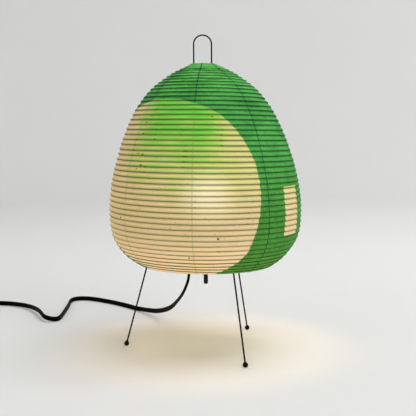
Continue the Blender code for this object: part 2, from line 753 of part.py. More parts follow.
def plug(stand):
    middle = (PLUG_BACK + PLUG_FRONT) / 2
    block(
        "plug_body",
        (PLUG_WIDTH, PLUG_BACK - PLUG_FRONT, PLUG_HEIGHT),
        "black_plastic",
        stand,
        (PLUG_X, middle, PLUG_Z),
        PLUG_EDGE,
    )
    start, end = PLUG_RELIEF
    relief = turned(
        "plug_relief",
        [(0.0, end), (RELIEF_WIDE, end), (RELIEF_NARROW, start), (0.0, start)],
        "black_plastic",
        stand,
        (PLUG_X, 0.0, PLUG_Z),
        12,
    )
    relief.rotation_euler.x = -math.pi / 2
    for number, side in ((1, -1), (2, 1)):
        spot = (PLUG_X + side * PIN_SPREAD / 2, PLUG_FRONT - GAP - PIN_SIZE[1] / 2, PLUG_Z)
        block(f"plug_pin_{number}", (PIN_SIZE[2], PIN_SIZE[1], PIN_SIZE[0]), "brass", stand, spot, 0.0)


def make_cord(stand):
    grommet(stand)
    lead_wires(stand)
    cord_piece("cord", CORD_ROUTE, stand)
    turned(
        "cord_coil",
        tube(COIL_OUTER, COIL_INNER, COIL_BOTTOM, COIL_TOP),
        "black_cord",
        stand,
        (*COIL_CENTRE, 0.0),
        32,
    )
    cord_piece("cord_tail", TAIL_ROUTE, stand)
    tie(stand)
    plug(stand)


def main():
    clear_scene()
    stand = group("stand_root")
    make_shade()
    make_stand(stand)
    make_switch(stand)
    make_socket(stand)
    make_bulb()
    make_cord(stand)


main()
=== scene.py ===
"""The looks of a paper table lantern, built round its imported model.

Metres, +Z up, the front faces -Y, the origin is on the floor on the lamp's axis.
A washi shade in eight glued panels over one wound rib hangs on a black wire stand with a lit bulb.
"""

import math

import bmesh
import bpy
from mathutils import Matrix, Vector, noise

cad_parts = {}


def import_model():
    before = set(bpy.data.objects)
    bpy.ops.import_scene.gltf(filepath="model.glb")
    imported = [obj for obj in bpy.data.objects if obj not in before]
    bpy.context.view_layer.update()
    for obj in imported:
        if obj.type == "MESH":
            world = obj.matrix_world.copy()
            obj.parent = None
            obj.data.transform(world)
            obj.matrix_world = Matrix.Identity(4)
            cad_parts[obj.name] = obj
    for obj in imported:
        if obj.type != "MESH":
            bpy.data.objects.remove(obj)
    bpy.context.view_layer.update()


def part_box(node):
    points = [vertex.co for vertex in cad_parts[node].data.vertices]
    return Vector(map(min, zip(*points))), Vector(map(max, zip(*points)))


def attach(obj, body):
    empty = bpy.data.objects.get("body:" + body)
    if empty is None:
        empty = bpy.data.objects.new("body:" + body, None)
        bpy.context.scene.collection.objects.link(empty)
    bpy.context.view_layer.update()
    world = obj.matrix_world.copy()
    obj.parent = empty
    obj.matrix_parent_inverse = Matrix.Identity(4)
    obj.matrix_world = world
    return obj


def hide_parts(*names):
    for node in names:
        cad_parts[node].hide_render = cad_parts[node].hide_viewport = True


FULL_TURN = 2 * math.pi
UPWARDS = (0.0, 0.0, 1.0)

# Camera
CAMERA_AT = (0.0, -1.085, 0.298)
CAMERA_LENS = 68.82
CAMERA_PITCH = math.radians(5.49)  # looking down
CAMERA_ROLL = math.radians(-0.33)
CAMERA_SHIFT = 0.0062

# Shade: (radius, height) down its outer side, joined by one smooth curve
SHADE_OUTLINE = [
    (0.0183, 0.3876), (0.0395, 0.3780), (0.0572, 0.3665), (0.0738, 0.3528), (0.0922, 0.3285),
    (0.1080, 0.2960), (0.1193, 0.2630), (0.1273, 0.2300), (0.1308, 0.1900), (0.1264, 0.1570),
    (0.1102, 0.1320), (0.0926, 0.1188),
]
# The paper goes on round each ring and ends inside the shade
TOP_HEM = [(0.0158, 0.3851), (0.0154, 0.3871), (0.0159, 0.3883), (0.0171, 0.3885)]
BOTTOM_HEM = [(0.0912, 0.1181), (0.0898, 0.1184), (0.0888, 0.1196), (0.0889, 0.1220)]
GORES = 8
CREAM_GORES = (1, 2, 3)
FIRST_SEAM = math.radians(-97.6)  # azimuth from the front, towards +X
GORE_COLUMNS = 26
SEAM_LAP = 0.0016
SEAM_STEP = 0.00022
RIB_START = 0.0107  # distance down the paper from the top rim to the first turn
RIB_PITCH = 0.00698
RIB_END_GAP = 0.004
RIB_INSET = 0.0009
RIB_WIDE, RIB_THICK = 0.00055, 0.0004
BAND_ROWS = (0.0, 0.055, 0.11, 0.17, 0.24, 0.36, 0.50, 0.64, 0.78, 0.89, 0.95)
SAG = 0.0017  # how far the paper is drawn in below a rib
EDGE_MARGIN = 0.006
LEAN = -0.0019  # how far the top rim stands to the side
RIM_TILT = -0.012  # slope of the bottom rim towards +X
HOOK_WIRE, HOOK_INNER, HOOK_OUTER, HOOK_TURN_UP = 0.0008, 0.0640, 0.0914, 0.0040

# Cord: the same routes as the model's own solids
CORD_EXIT = (-0.0234, 0.0125, 0.1003)
CORD_ROUTE = [
    CORD_EXIT,
    (-0.0238, 0.0128, 0.0970), (-0.0246, 0.0150, 0.0918), (-0.0268, 0.0240, 0.0836),
    (-0.0323, 0.0450, 0.0679), (-0.0420, 0.0790, 0.0483), (-0.0565, 0.1230, 0.0271),
    (-0.0788, 0.1710, 0.0118), (-0.0998, 0.2040, 0.0062), (-0.1190, 0.2290, 0.0038),
    (-0.1450, 0.2580, 0.0027), (-0.1700, 0.2810, 0.0027), (-0.1930, 0.2985, 0.0027),
    (-0.2110, 0.3075, 0.0027), (-0.2250, 0.3080, 0.0027), (-0.2340, 0.3010, 0.0027),
    (-0.2370, 0.2880, 0.0027), (-0.2350, 0.2550, 0.0027), (-0.2338, 0.2200, 0.0027),
    (-0.2331, 0.1880, 0.0027), (-0.2332, 0.1690, 0.0028), (-0.2347, 0.1563, 0.0033),
    (-0.2397, 0.1500, 0.0043), (-0.2471, 0.1482, 0.0057), (-0.2541, 0.1512, 0.0071),
    (-0.2588, 0.1578, 0.0080), (-0.2648, 0.1722, 0.0086), (-0.2735, 0.1935, 0.0083),
    (-0.2860, 0.2180, 0.0070), (-0.3030, 0.2420, 0.0054), (-0.3240, 0.2600, 0.0045),
    (-0.3500, 0.2690, 0.0045), (-0.3811, 0.2699, 0.0048),
]
TAIL_ROUTE = [
    (-0.4296, 0.2150, 0.0116), (-0.4302, 0.2050, 0.0116), (-0.4304, 0.1950, 0.0116),
    (-0.4304, 0.1870, 0.0114), (-0.4304, 0.1790, 0.0093), (-0.4304, 0.1735, 0.0076),
    (-0.4304, 0.1680, 0.0075),
]
COIL_CENTRE = Vector((-0.4000, 0.2245, 0.0))
COIL_FIRST, COIL_LAST = 0.0450, 0.0284  # radius of the outermost and innermost turn
COIL_ANGLES = (math.radians(90), math.radians(180 + 4 * 360))
COIL_HEIGHT, COIL_LEAVES_AT = 0.0050, 0.0116
COIL_RISE = math.radians(130)
CORD_WIDTH, CORD_THICK = 0.0076, 0.0038
CORD_STEP = 0.0035
CORD_TURNS_OVER = (0.045, 0.19)  # distances from the exit between which the flat side comes round
TIE_AZIMUTH = math.radians(-60)
TIE_HALF_WIDTH, TIE_HALF_THICK = 0.0030, 0.0003
PLUG_X, PLUG_Z = -0.4304, 0.0075

# Wires of the stand
LEG_WIRE = 0.0011
LEG_AZIMUTHS = {"left": 176.3, "front": -63.7, "back": 56.3}  # degrees from +X towards +Y
FOOT_CIRCLE = 0.1117
LEG_LEAN = math.radians(15.4)
LEG_BEND = 0.0045
LEG_HEIGHT = 0.1215
HUB_BORE = 0.0051
LOOP_HALF, LOOP_TOP, LOOP_SHIFT = 0.0120, 0.4269, -0.0026
SHOULDER_HEIGHT, STRETCHER_FOOT = 0.3854, 0.0235

# Artwork: a large pale disc, an egg slightly tilted, seen flat from its own azimuth
DISC_AZIMUTH = math.radians(-34.0)
DISC_HEIGHT = 0.2221
DISC_TILT = 0.947
DISC_HALF_HEIGHT, DISC_HALF_WIDTH = 0.1133, 0.1284
DISC_SWELL, DISC_POWER = 0.060, 1.776
DISC_ROUND_FROM, DISC_ROUNDING = -0.085, 15.0  # where its far side starts to be rounder, and how much
MARK_AZIMUTH, MARK_HALF_ANGLE = math.radians(59.5), math.radians(8.0)
MARK_HEIGHT, MARK_HALF_HEIGHT = 0.1965, 0.0313
WASH_AZIMUTH = math.radians(-14)
WASH_RIGHT = 1.4  # how much sooner it fades on the right than on the left

# Light from the bulb
BULB_COLOUR = (1.0, 0.64, 0.28, 1.0)
BULB_GLOW = 35.0
PAPER_TRANSLUCENCE = 0.25

# Round sweep of the studio
FLOOR_RADIUS = 2.3
WALL_RADIUS = 3.6
WALL_HEIGHT = 3.4


def rgb(red, green, blue):
    """Linear colour of an sRGB one given in 0 to 255."""
    shares = [value / 255 for value in (red, green, blue)]
    return tuple(s / 12.92 if s <= 0.04045 else ((s + 0.055) / 1.055) ** 2.4 for s in shares) + (1.0,)


# Dyes of the paper, and the pale colours that also carry its painted glow and painted light
MEAN_RADIUS = 0.115
# Where the painted glow on the front of the paper is centred
GLOW_AZIMUTH, GLOW_HEIGHT = math.radians(1), 0.220
RED_RUN_AZIMUTH = math.radians(-43)
GREEN_DEEP = rgb(58, 144, 62)
GREEN_FRESH = rgb(78, 168, 78)
GREEN_WARM = rgb(80, 142, 42)
GREEN_LOW = rgb(104, 166, 60)
GREEN_HIGH = rgb(108, 210, 98)
GREEN_DARK = rgb(22, 96, 48)
GREEN_PALE = rgb(128, 196, 112)
CREAM = rgb(222, 210, 172)
CREAM_WARM = rgb(216, 198, 156)
CREAM_PALE = rgb(250, 244, 226)
CREAM_SHADE = rgb(206, 182, 138)
CREAM_LOW = rgb(252, 230, 194)
WASH_LIGHT = rgb(186, 210, 100)
WASH_STRONG = rgb(80, 200, 50)
FLECK_RED = rgb(150, 20, 20)
FLECK_LIGHT = rgb(176, 78, 48)
RIB_ON_GREEN = rgb(5, 56, 26)
RIB_ON_CREAM = rgb(78, 56, 34)
RIB_ON_WASH = rgb(34, 100, 28)
SEAM_ON_GREEN = rgb(6, 84, 64)
SEAM_ON_CREAM = rgb(140, 164, 84)


# Camera
def make_camera():
    data = bpy.data.cameras.new("camera")
    data.lens = CAMERA_LENS
    data.shift_x = CAMERA_SHIFT
    camera = bpy.data.objects.new("camera", data)
    bpy.context.scene.collection.objects.link(camera)
    tilt = Matrix.Rotation(math.pi / 2 - CAMERA_PITCH, 4, "X") @ Matrix.Rotation(CAMERA_ROLL, 4, "Z")
    camera.matrix_world = Matrix.Translation(CAMERA_AT) @ tilt
    bpy.context.scene.camera = camera


# Lines
def smooth_line(points, steps=12):
    """Points on a centripetal Catmull-Rom curve through the given ones."""
    known = [Vector(p) for p in points]
    known = [2 * known[0] - known[1], *known, 2 * known[-1] - known[-2]]
    line = []
    for a, b, c, d in zip(known, known[1:], known[2:], known[3:]):
        first, middle, last = (math.sqrt((q - p).length) for p, q in ((a, b), (b, c), (c, d)))
        leave = (b - a) / first - (c - a) / (first + middle) + (c - b) / middle
        arrive = (c - b) / middle - (d - b) / (middle + last) + (d - c) / last
        for step in range(steps):
            t = step / steps
            rise = t * t * (3 - 2 * t)
            spot = b.lerp(c, rise)
            spot += (t - 1) * t * middle * ((t - 1) * leave + t * arrive)
            line.append(spot)
    return line + [known[-2]]


def distances(line):
    along = [0.0]
    for a, b in zip(line, line[1:]):
        along.append(along[-1] + (b - a).length)
    return along


def spaced(line, step):
    """Points about a step apart along a line, with both its ends."""
    along = distances(line)
    count = max(2, round(along[-1] / step) + 1)
    spots, i = [], 0
    for k in range(count):
        target = along[-1] * k / (count - 1)
        while i < len(line) - 2 and along[i + 1] < target:
            i += 1
        spots.append(line[i].lerp(line[i + 1], (target - along[i]) / (along[i + 1] - along[i])))
    return spots


def bent(corners, radius, steps=8):
    """The corner points of a wire, with every inner corner turned into an arc."""
    corners = [Vector(corner) for corner in corners]
    path = [corners[0]]
    for before, corner, after in zip(corners, corners[1:], corners[2:]):
        back, on = (before - corner).normalized(), (after - corner).normalized()
        half = back.angle(on) / 2
        reach = radius / math.tan(half)
        middle = corner + (back + on).normalized() * (radius / math.sin(half))
        start, end = corner + back * reach - middle, corner + on * reach - middle
        path += [middle + start.slerp(end, i / steps) * radius for i in range(steps + 1)]
    return path + [corners[-1]]


def rounded(outline, radius, steps=3):
    """A closed outline of (radius, height) corners, each turned into an arc unless it is on the axis."""
    made = []
    for before, corner, after in zip(outline[-1:] + outline[:-1], outline, outline[1:] + outline[:1]):
        here = Vector((corner[0], corner[1], 0.0))
        back, on = Vector((*before, 0.0)) - here, Vector((*after, 0.0)) - here
        cut = min(radius, back.length * 0.45, on.length * 0.45)
        if corner[0] < 1e-6 or cut < 1e-5:
            made.append(corner)
            continue
        start, end = here + back.normalized() * cut, here + on.normalized() * cut
        for i in range(steps + 1):
            t = i / steps
            spot = start * (1 - t) ** 2 + here * (2 * t * (1 - t)) + end * t * t
            made.append((spot.x, spot.y))
    return made


def polar(radius, azimuth, height):
    return Vector((radius * math.cos(azimuth), radius * math.sin(azimuth), height))


def all_round(count):
    """That many angles round a full turn, from 0."""
    return [FULL_TURN * k / count for k in range(count)]


def circle(radius, height, count):
    return [polar(radius, azimuth, height) for azimuth in all_round(count)]


def wave(turns):
    """0 at every whole turn and 1 half-way between."""
    return 0.5 - 0.5 * math.cos(FULL_TURN * turns)


def heading(line, k):
    """The direction of a line at its point k."""
    return (line[min(k + 1, len(line) - 1)] - line[max(k - 1, 0)]).normalized()


def ease(x, low, high):
    """0 below low, 1 above high, and a smooth rise between."""
    t = min(max((x - low) / (high - low), 0.0), 1.0)
    return t * t * (3 - 2 * t)


# What a piece can be made of: its material and a slot name. make_looks fills this in.
LOOKS = {}


# Meshes
def finished(name, bm, stuff, body, *replaced, sharp=40):
    """Turns a bmesh into a smooth piece that rides on a body and stands for the CAD nodes it replaces."""
    bmesh.ops.remove_doubles(bm, verts=bm.verts, dist=1e-7)
    bmesh.ops.recalc_face_normals(bm, faces=bm.faces)
    mesh = bpy.data.meshes.new(name)
    bm.to_mesh(mesh)
    bm.free()
    mesh.shade_smooth()
    mesh.set_sharp_from_angle(angle=math.radians(sharp))
    material, slot = LOOKS[stuff]
    mesh.materials.append(material)
    piece = bpy.data.objects.new(name, mesh)
    bpy.context.scene.collection.objects.link(piece)
    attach(piece, body)
    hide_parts(*replaced)
    return piece


def add_rings(bm, rings, closed=False, caps=True):
    """Faces between rings of points, which all hold the same number."""
    made = [[bm.verts.new(point) for point in ring] for ring in rings]
    following = made[1:] + made[:1] if closed else made[1:]
    for one, other in zip(made, following):
        for k in range(len(one)):
            bm.faces.new((one[k - 1], one[k], other[k], other[k - 1]))
    if caps and not closed:
        bm.faces.new(made[0])
        bm.faces.new(made[-1][::-1])


def add_wire(bm, path, radius, sides=12, closed=False):
    """A round wire along a path, with its section carried along without twisting."""
    count = len(path)
    normal = None
    rings = []
    for k, spot in enumerate(path):
        ahead = path[(k + 1) % count] if closed or k < count - 1 else spot
        behind = path[k - 1] if closed or k else spot
        run = (ahead - behind).normalized()
        if normal is None:
            normal = run.orthogonal().normalized()
        normal = (normal - run * normal.dot(run)).normalized()
        across, up = normal * radius, run.cross(normal) * radius
        rings.append([spot + across * math.cos(a) + up * math.sin(a) for a in all_round(sides)])
    add_rings(bm, rings, closed)


def add_turned(bm, outline, segments=64, at=(0.0, 0.0, 0.0)):
    """A solid of revolution about Z from a closed outline of (radius, height) points."""
    at = Vector(at)
    columns = []
    for azimuth in all_round(segments):
        columns.append([bm.verts.new(at + polar(radius, azimuth, height)) for radius, height in outline])
    for one, other in zip(columns, columns[1:] + columns[:1]):
        for i in range(len(outline)):
            low, high = outline[i - 1][0] > 1e-6, outline[i][0] > 1e-6
            if low and high:
                bm.faces.new((one[i - 1], other[i - 1], other[i], one[i]))
            elif low:
                bm.faces.new((one[i - 1], other[i - 1], one[i]))
            elif high:
                bm.faces.new((one[i - 1], other[i], one[i]))


def add_fluted(bm, stations, flutes, depth, segments, power=1, closed=False):
    """A turned body with flutes. A station is (radius, height, share of the flutes' depth)."""
    rings = []
    for radius, height, share in stations:
        ring = []
        for azimuth in all_round(segments):
            groove = depth * share * wave(flutes * azimuth / FULL_TURN) ** power
            ring.append(polar(radius - groove, azimuth, height))
        rings.append(ring)
    add_rings(bm, rings, closed)


def add_thread(bm, radius, depth, pitch, bottom, top, inner, segments=48):
    """A tube or rod whose outer side carries a screw thread. inner is its bore, or 0."""
    rows = max(6, round((top - bottom) / pitch * 8))
    rings = []
    for row in range(rows + 1):
        height = bottom + (top - bottom) * row / rows
        fade = min(ease(height, bottom, bottom + pitch), 1 - ease(height, top - pitch, top))
        ring = []
        for azimuth in all_round(segments):
            crest = wave((height - bottom) / pitch - azimuth / FULL_TURN)
            ring.append(polar(radius - depth * (1 - crest * fade), azimuth, height))
        rings.append(ring)
    if inner:
        rings += [circle(inner, height, segments) for height in (top, bottom)]
    add_rings(bm, rings, closed=bool(inner))


def ring_piece(name, rings, stuff, body, *replaced, closed=False, sharp=40):
    bm = bmesh.new()
    add_rings(bm, rings, closed)
    return finished(name, bm, stuff, body, *replaced, sharp=sharp)


def turned_piece(name, outline, stuff, body, replaced, edge=0.0004, segments=64):
    bm = bmesh.new()
    add_turned(bm, rounded(outline, edge), segments)
    finished(name, bm, stuff, body, replaced)


def wire_piece(name, path, radius, stuff, body, replaced, closed=False, sides=12):
    bm = bmesh.new()
    add_wire(bm, path, radius, sides, closed)
    finished(name, bm, stuff, body, replaced)


# Materials
class Term:
    """A value that a material's nodes work out, written in sums like a number."""

    def __init__(self, graph, socket):
        self.graph, self.socket = graph, socket

    def __add__(self, other):
        return self.graph.math("ADD", self, other)

    def __sub__(self, other):
        return self.graph.math("SUBTRACT", self, other)

    def __rsub__(self, other):
        return self.graph.math("SUBTRACT", other, self)

    def __mul__(self, other):
        return self.graph.math("MULTIPLY", self, other)

    def __truediv__(self, other):
        return self.graph.math("DIVIDE", self, other)

    def __pow__(self, other):
        return self.graph.math("POWER", self, other)

    def __abs__(self):
        return self.graph.math("ABSOLUTE", self)


class Graph:
    """Short calls for making the nodes of one material."""

    def __init__(self, name):
        self.material = bpy.data.materials.new(name)
        self.material.use_nodes = True
        self.tree = self.material.node_tree
        self.tree.nodes.clear()
        self.place = self.term("ShaderNodeTexCoord", "Object")

    def node(self, kind, inputs=(), **settings):
        made = self.tree.nodes.new(kind)
        for key, value in settings.items():
            setattr(made, key, value)
        for key, value in dict(inputs).items():
            if isinstance(value, Term):
                self.tree.links.new(value.socket, made.inputs[key])
            else:
                made.inputs[key].default_value = value
        return made

    def term(self, kind, output, inputs=(), **settings):
        return Term(self, self.node(kind, inputs, **settings).outputs[output])

    def math(self, operation, a, b=0.0, clamp=False):
        return self.term("ShaderNodeMath", 0, {0: a, 1: b}, operation=operation, use_clamp=clamp)

    def ramp(self, value, low, high, start=0.0, end=1.0):
        """start below low, end above high, with a smooth change between."""
        inputs = {"Value": value, "From Min": low, "From Max": high, "To Min": start, "To Max": end}
        return self.term("ShaderNodeMapRange", "Result", inputs, interpolation_type="SMOOTHSTEP")

    def mix(self, share, first, second, blend="MIX"):
        inputs = {"Factor": share, 6: first, 7: second}
        return self.term("ShaderNodeMix", 2, inputs, data_type="RGBA", blend_type=blend)

    def dot(self, direction, vector=None):
        """The distance along a direction of the place, or of another vector."""
        inputs = {0: vector or self.place, 1: direction}
        return self.term("ShaderNodeVectorMath", "Value", inputs, operation="DOT_PRODUCT")

    def attribute(self, name, output="Fac"):
        return self.term("ShaderNodeAttribute", output, attribute_name=name)

    def scaled(self, scales, vector=None):
        """The place, or another vector, stretched along each axis."""
        inputs = {0: vector or self.place, 1: scales}
        return self.term("ShaderNodeVectorMath", 0, inputs, operation="MULTIPLY")

    def noise(self, size, detail=3.0, vector=None, roughness=0.5, distortion=0.0):
        """Smooth noise from 0 to 1 with features about as large as size, in metres."""
        inputs = {"Vector": vector or self.place, "Scale": 1 / size, "Detail": detail}
        inputs.update({"Roughness": roughness, "Distortion": distortion})
        return self.term("ShaderNodeTexNoise", "Fac", inputs)

    def cells(self, size, vector):
        """(distance from the nearest point, random value of it) for points about that far apart."""
        made = self.node("ShaderNodeTexVoronoi", {"Vector": vector, "Scale": 1 / size})
        near, colour = Term(self, made.outputs["Distance"]), Term(self, made.outputs["Color"])
        return near, self.term("ShaderNodeSeparateColor", 0, {"Color": colour})

    def bump(self, height, distance, strength, normal=None):
        inputs = {"Height": height, "Distance": distance, "Strength": strength}
        if normal:
            inputs["Normal"] = normal
        return self.term("ShaderNodeBump", "Normal", inputs)

    def principled(self, **inputs):
        named = {key.replace("_", " "): value for key, value in inputs.items()}
        return self.term("ShaderNodeBsdfPrincipled", 0, named)

    def done(self, shader):
        self.node("ShaderNodeOutputMaterial", {"Surface": shader})
        return self.material

    def plain(self, **inputs):
        """The material, ended with one shader of these inputs."""
        return self.done(self.principled(**inputs))


def painted_wire():
    """Black paint over steel: faint brush streaks, a little dust and small bright chips."""
    g = Graph("painted_wire")
    streaks = g.noise(0.0016, 4.0, g.scaled((1.0, 1.0, 0.15)))
    chips = g.ramp(g.noise(0.0022, 2.0), 0.745, 0.77)
    base = g.mix(g.noise(0.030, 3.0), rgb(6, 6, 7), rgb(15, 14, 14))
    return g.plain(
        Base_Color=g.mix(chips, base, rgb(66, 62, 58)),
        Roughness=g.ramp(streaks, 0.3, 0.75, 0.42, 0.62),
        Specular_IOR_Level=0.05,
        Normal=g.bump(streaks, 0.00008, 0.6),
    )


def moulded_black(name, roughness):
    """Black moulded plastic with a fine spark-eroded grain."""
    g = Graph(name)
    clouds = g.noise(0.018, 3.0)
    return g.plain(
        Base_Color=g.mix(clouds, rgb(12, 12, 13), rgb(24, 23, 23)),
        Roughness=g.ramp(clouds, 0.3, 0.7, roughness - 0.06, roughness + 0.08),
        Specular_IOR_Level=0.16,
        Normal=g.bump(g.noise(0.0006, 2.0), 0.00006, 0.7),
    )


def cord_rubber():
    """Soft black sheath with scuffs and a fine grain."""
    g = Graph("cord_rubber")
    scuffs = g.ramp(g.noise(0.012, 5.0, roughness=0.7), 0.52, 0.80)
    return g.plain(
        Base_Color=g.mix(scuffs, rgb(4, 4, 4), rgb(14, 13, 13)),
        Roughness=g.ramp(scuffs, 0.0, 1.0, 0.52, 0.70),
        Specular_IOR_Level=0.03,
        Normal=g.bump(g.noise(0.0009, 3.0), 0.00007, 0.5),
    )


def metal(name, light, dark, roughness):
    """Bare metal with fine turning marks and slight tarnish."""
    g = Graph(name)
    turning = g.noise(0.0011, 3.0, g.scaled((1.0, 1.0, 6.0)))
    tarnish = g.ramp(g.noise(0.006, 4.0), 0.42, 0.75)
    return g.plain(
        Base_Color=g.mix(tarnish, light, dark),
        Metallic=1.0,
        Roughness=g.ramp(tarnish, 0.0, 1.0, roughness, roughness + 0.18),
        Normal=g.bump(turning, 0.00005, 0.5),
    )


def glazed_porcelain():
    g = Graph("glazed_porcelain")
    specks = g.ramp(g.noise(0.0012, 2.0), 0.66, 0.72)
    return g.plain(
        Base_Color=g.mix(specks, rgb(236, 232, 222), rgb(196, 188, 172)),
        Roughness=g.ramp(g.noise(0.008, 3.0), 0.3, 0.7, 0.22, 0.34),
        Normal=g.bump(g.noise(0.004, 3.0), 0.00008, 0.4),
    )


def split_bamboo():
    """A thin split rib: pale straw with darker long fibres."""
    g = Graph("split_bamboo")
    fibres = g.noise(0.004, 5.0, g.scaled((1.0, 1.0, 9.0)), roughness=0.65)
    return g.plain(
        Base_Color=g.mix(g.ramp(fibres, 0.35, 0.7), rgb(120, 92, 50), rgb(176, 146, 92)),
        Roughness=g.ramp(fibres, 0.3, 0.7, 0.55, 0.75),
        Normal=g.bump(fibres, 0.0001, 0.6),
    )


def opal_bulb():
    """Opal glass lit from within, a little dimmer towards its neck."""
    g = Graph("opal_bulb")
    lit = g.ramp(g.dot(UPWARDS), 0.176, 0.196, 0.45, 1.0)
    even = g.ramp(g.noise(0.010, 2.0), 0.2, 0.8, 0.94, 1.06)
    return g.plain(
        Base_Color=rgb(246, 240, 226),
        Roughness=g.ramp(g.noise(0.012, 2.0), 0.3, 0.7, 0.16, 0.24),
        Emission_Color=BULB_COLOUR,
        Emission_Strength=lit * even * BULB_GLOW,
    )


def disc_mask(g):
    """1 on the pale disc. Its edge is very slightly uneven, as dye on paper is."""
    c, s = math.cos(DISC_AZIMUTH), math.sin(DISC_AZIMUTH)
    over_ribs = g.attribute("over_ribs", "Vector")
    across = g.dot((c, s, 0.0), over_ribs)
    facing = g.dot((s, -c, 0.0), over_ribs)
    up = g.dot(UPWARDS, over_ribs) - DISC_HEIGHT
    c, s = math.cos(DISC_TILT), math.sin(DISC_TILT)
    upwards = (across * c + up * s) / (up * DISC_SWELL + DISC_HALF_HEIGHT)
    sideways = (up * c - across * s) / DISC_HALF_WIDTH
    reach = (abs(upwards) ** DISC_POWER + abs(sideways) ** DISC_POWER) ** (1 / DISC_POWER)
    past = g.math("MAXIMUM", DISC_ROUND_FROM - across, 0.0)
    reach += (past * DISC_ROUNDING) ** 2.0
    uneven = (g.noise(0.004, 3.0) - 0.5) * 0.018
    return g.ramp(uneven + 1.0 - reach, -0.003, 0.003) * g.ramp(facing, -0.001, 0.001)


def mark_mask(g):
    """1 on the plain upright oblong at the side."""
    uneven = (g.noise(0.003, 2.0) - 0.5) * 0.012
    sideways = abs(g.attribute("around") - MARK_AZIMUTH) + uneven
    upwards = abs(g.dot(UPWARDS) - MARK_HEIGHT)
    inside = g.ramp(sideways, MARK_HALF_ANGLE - 0.004, MARK_HALF_ANGLE + 0.004, 1.0, 0.0)
    return inside * g.ramp(upwards, MARK_HALF_HEIGHT - 0.0004, MARK_HALF_HEIGHT + 0.0004, 1.0, 0.0)


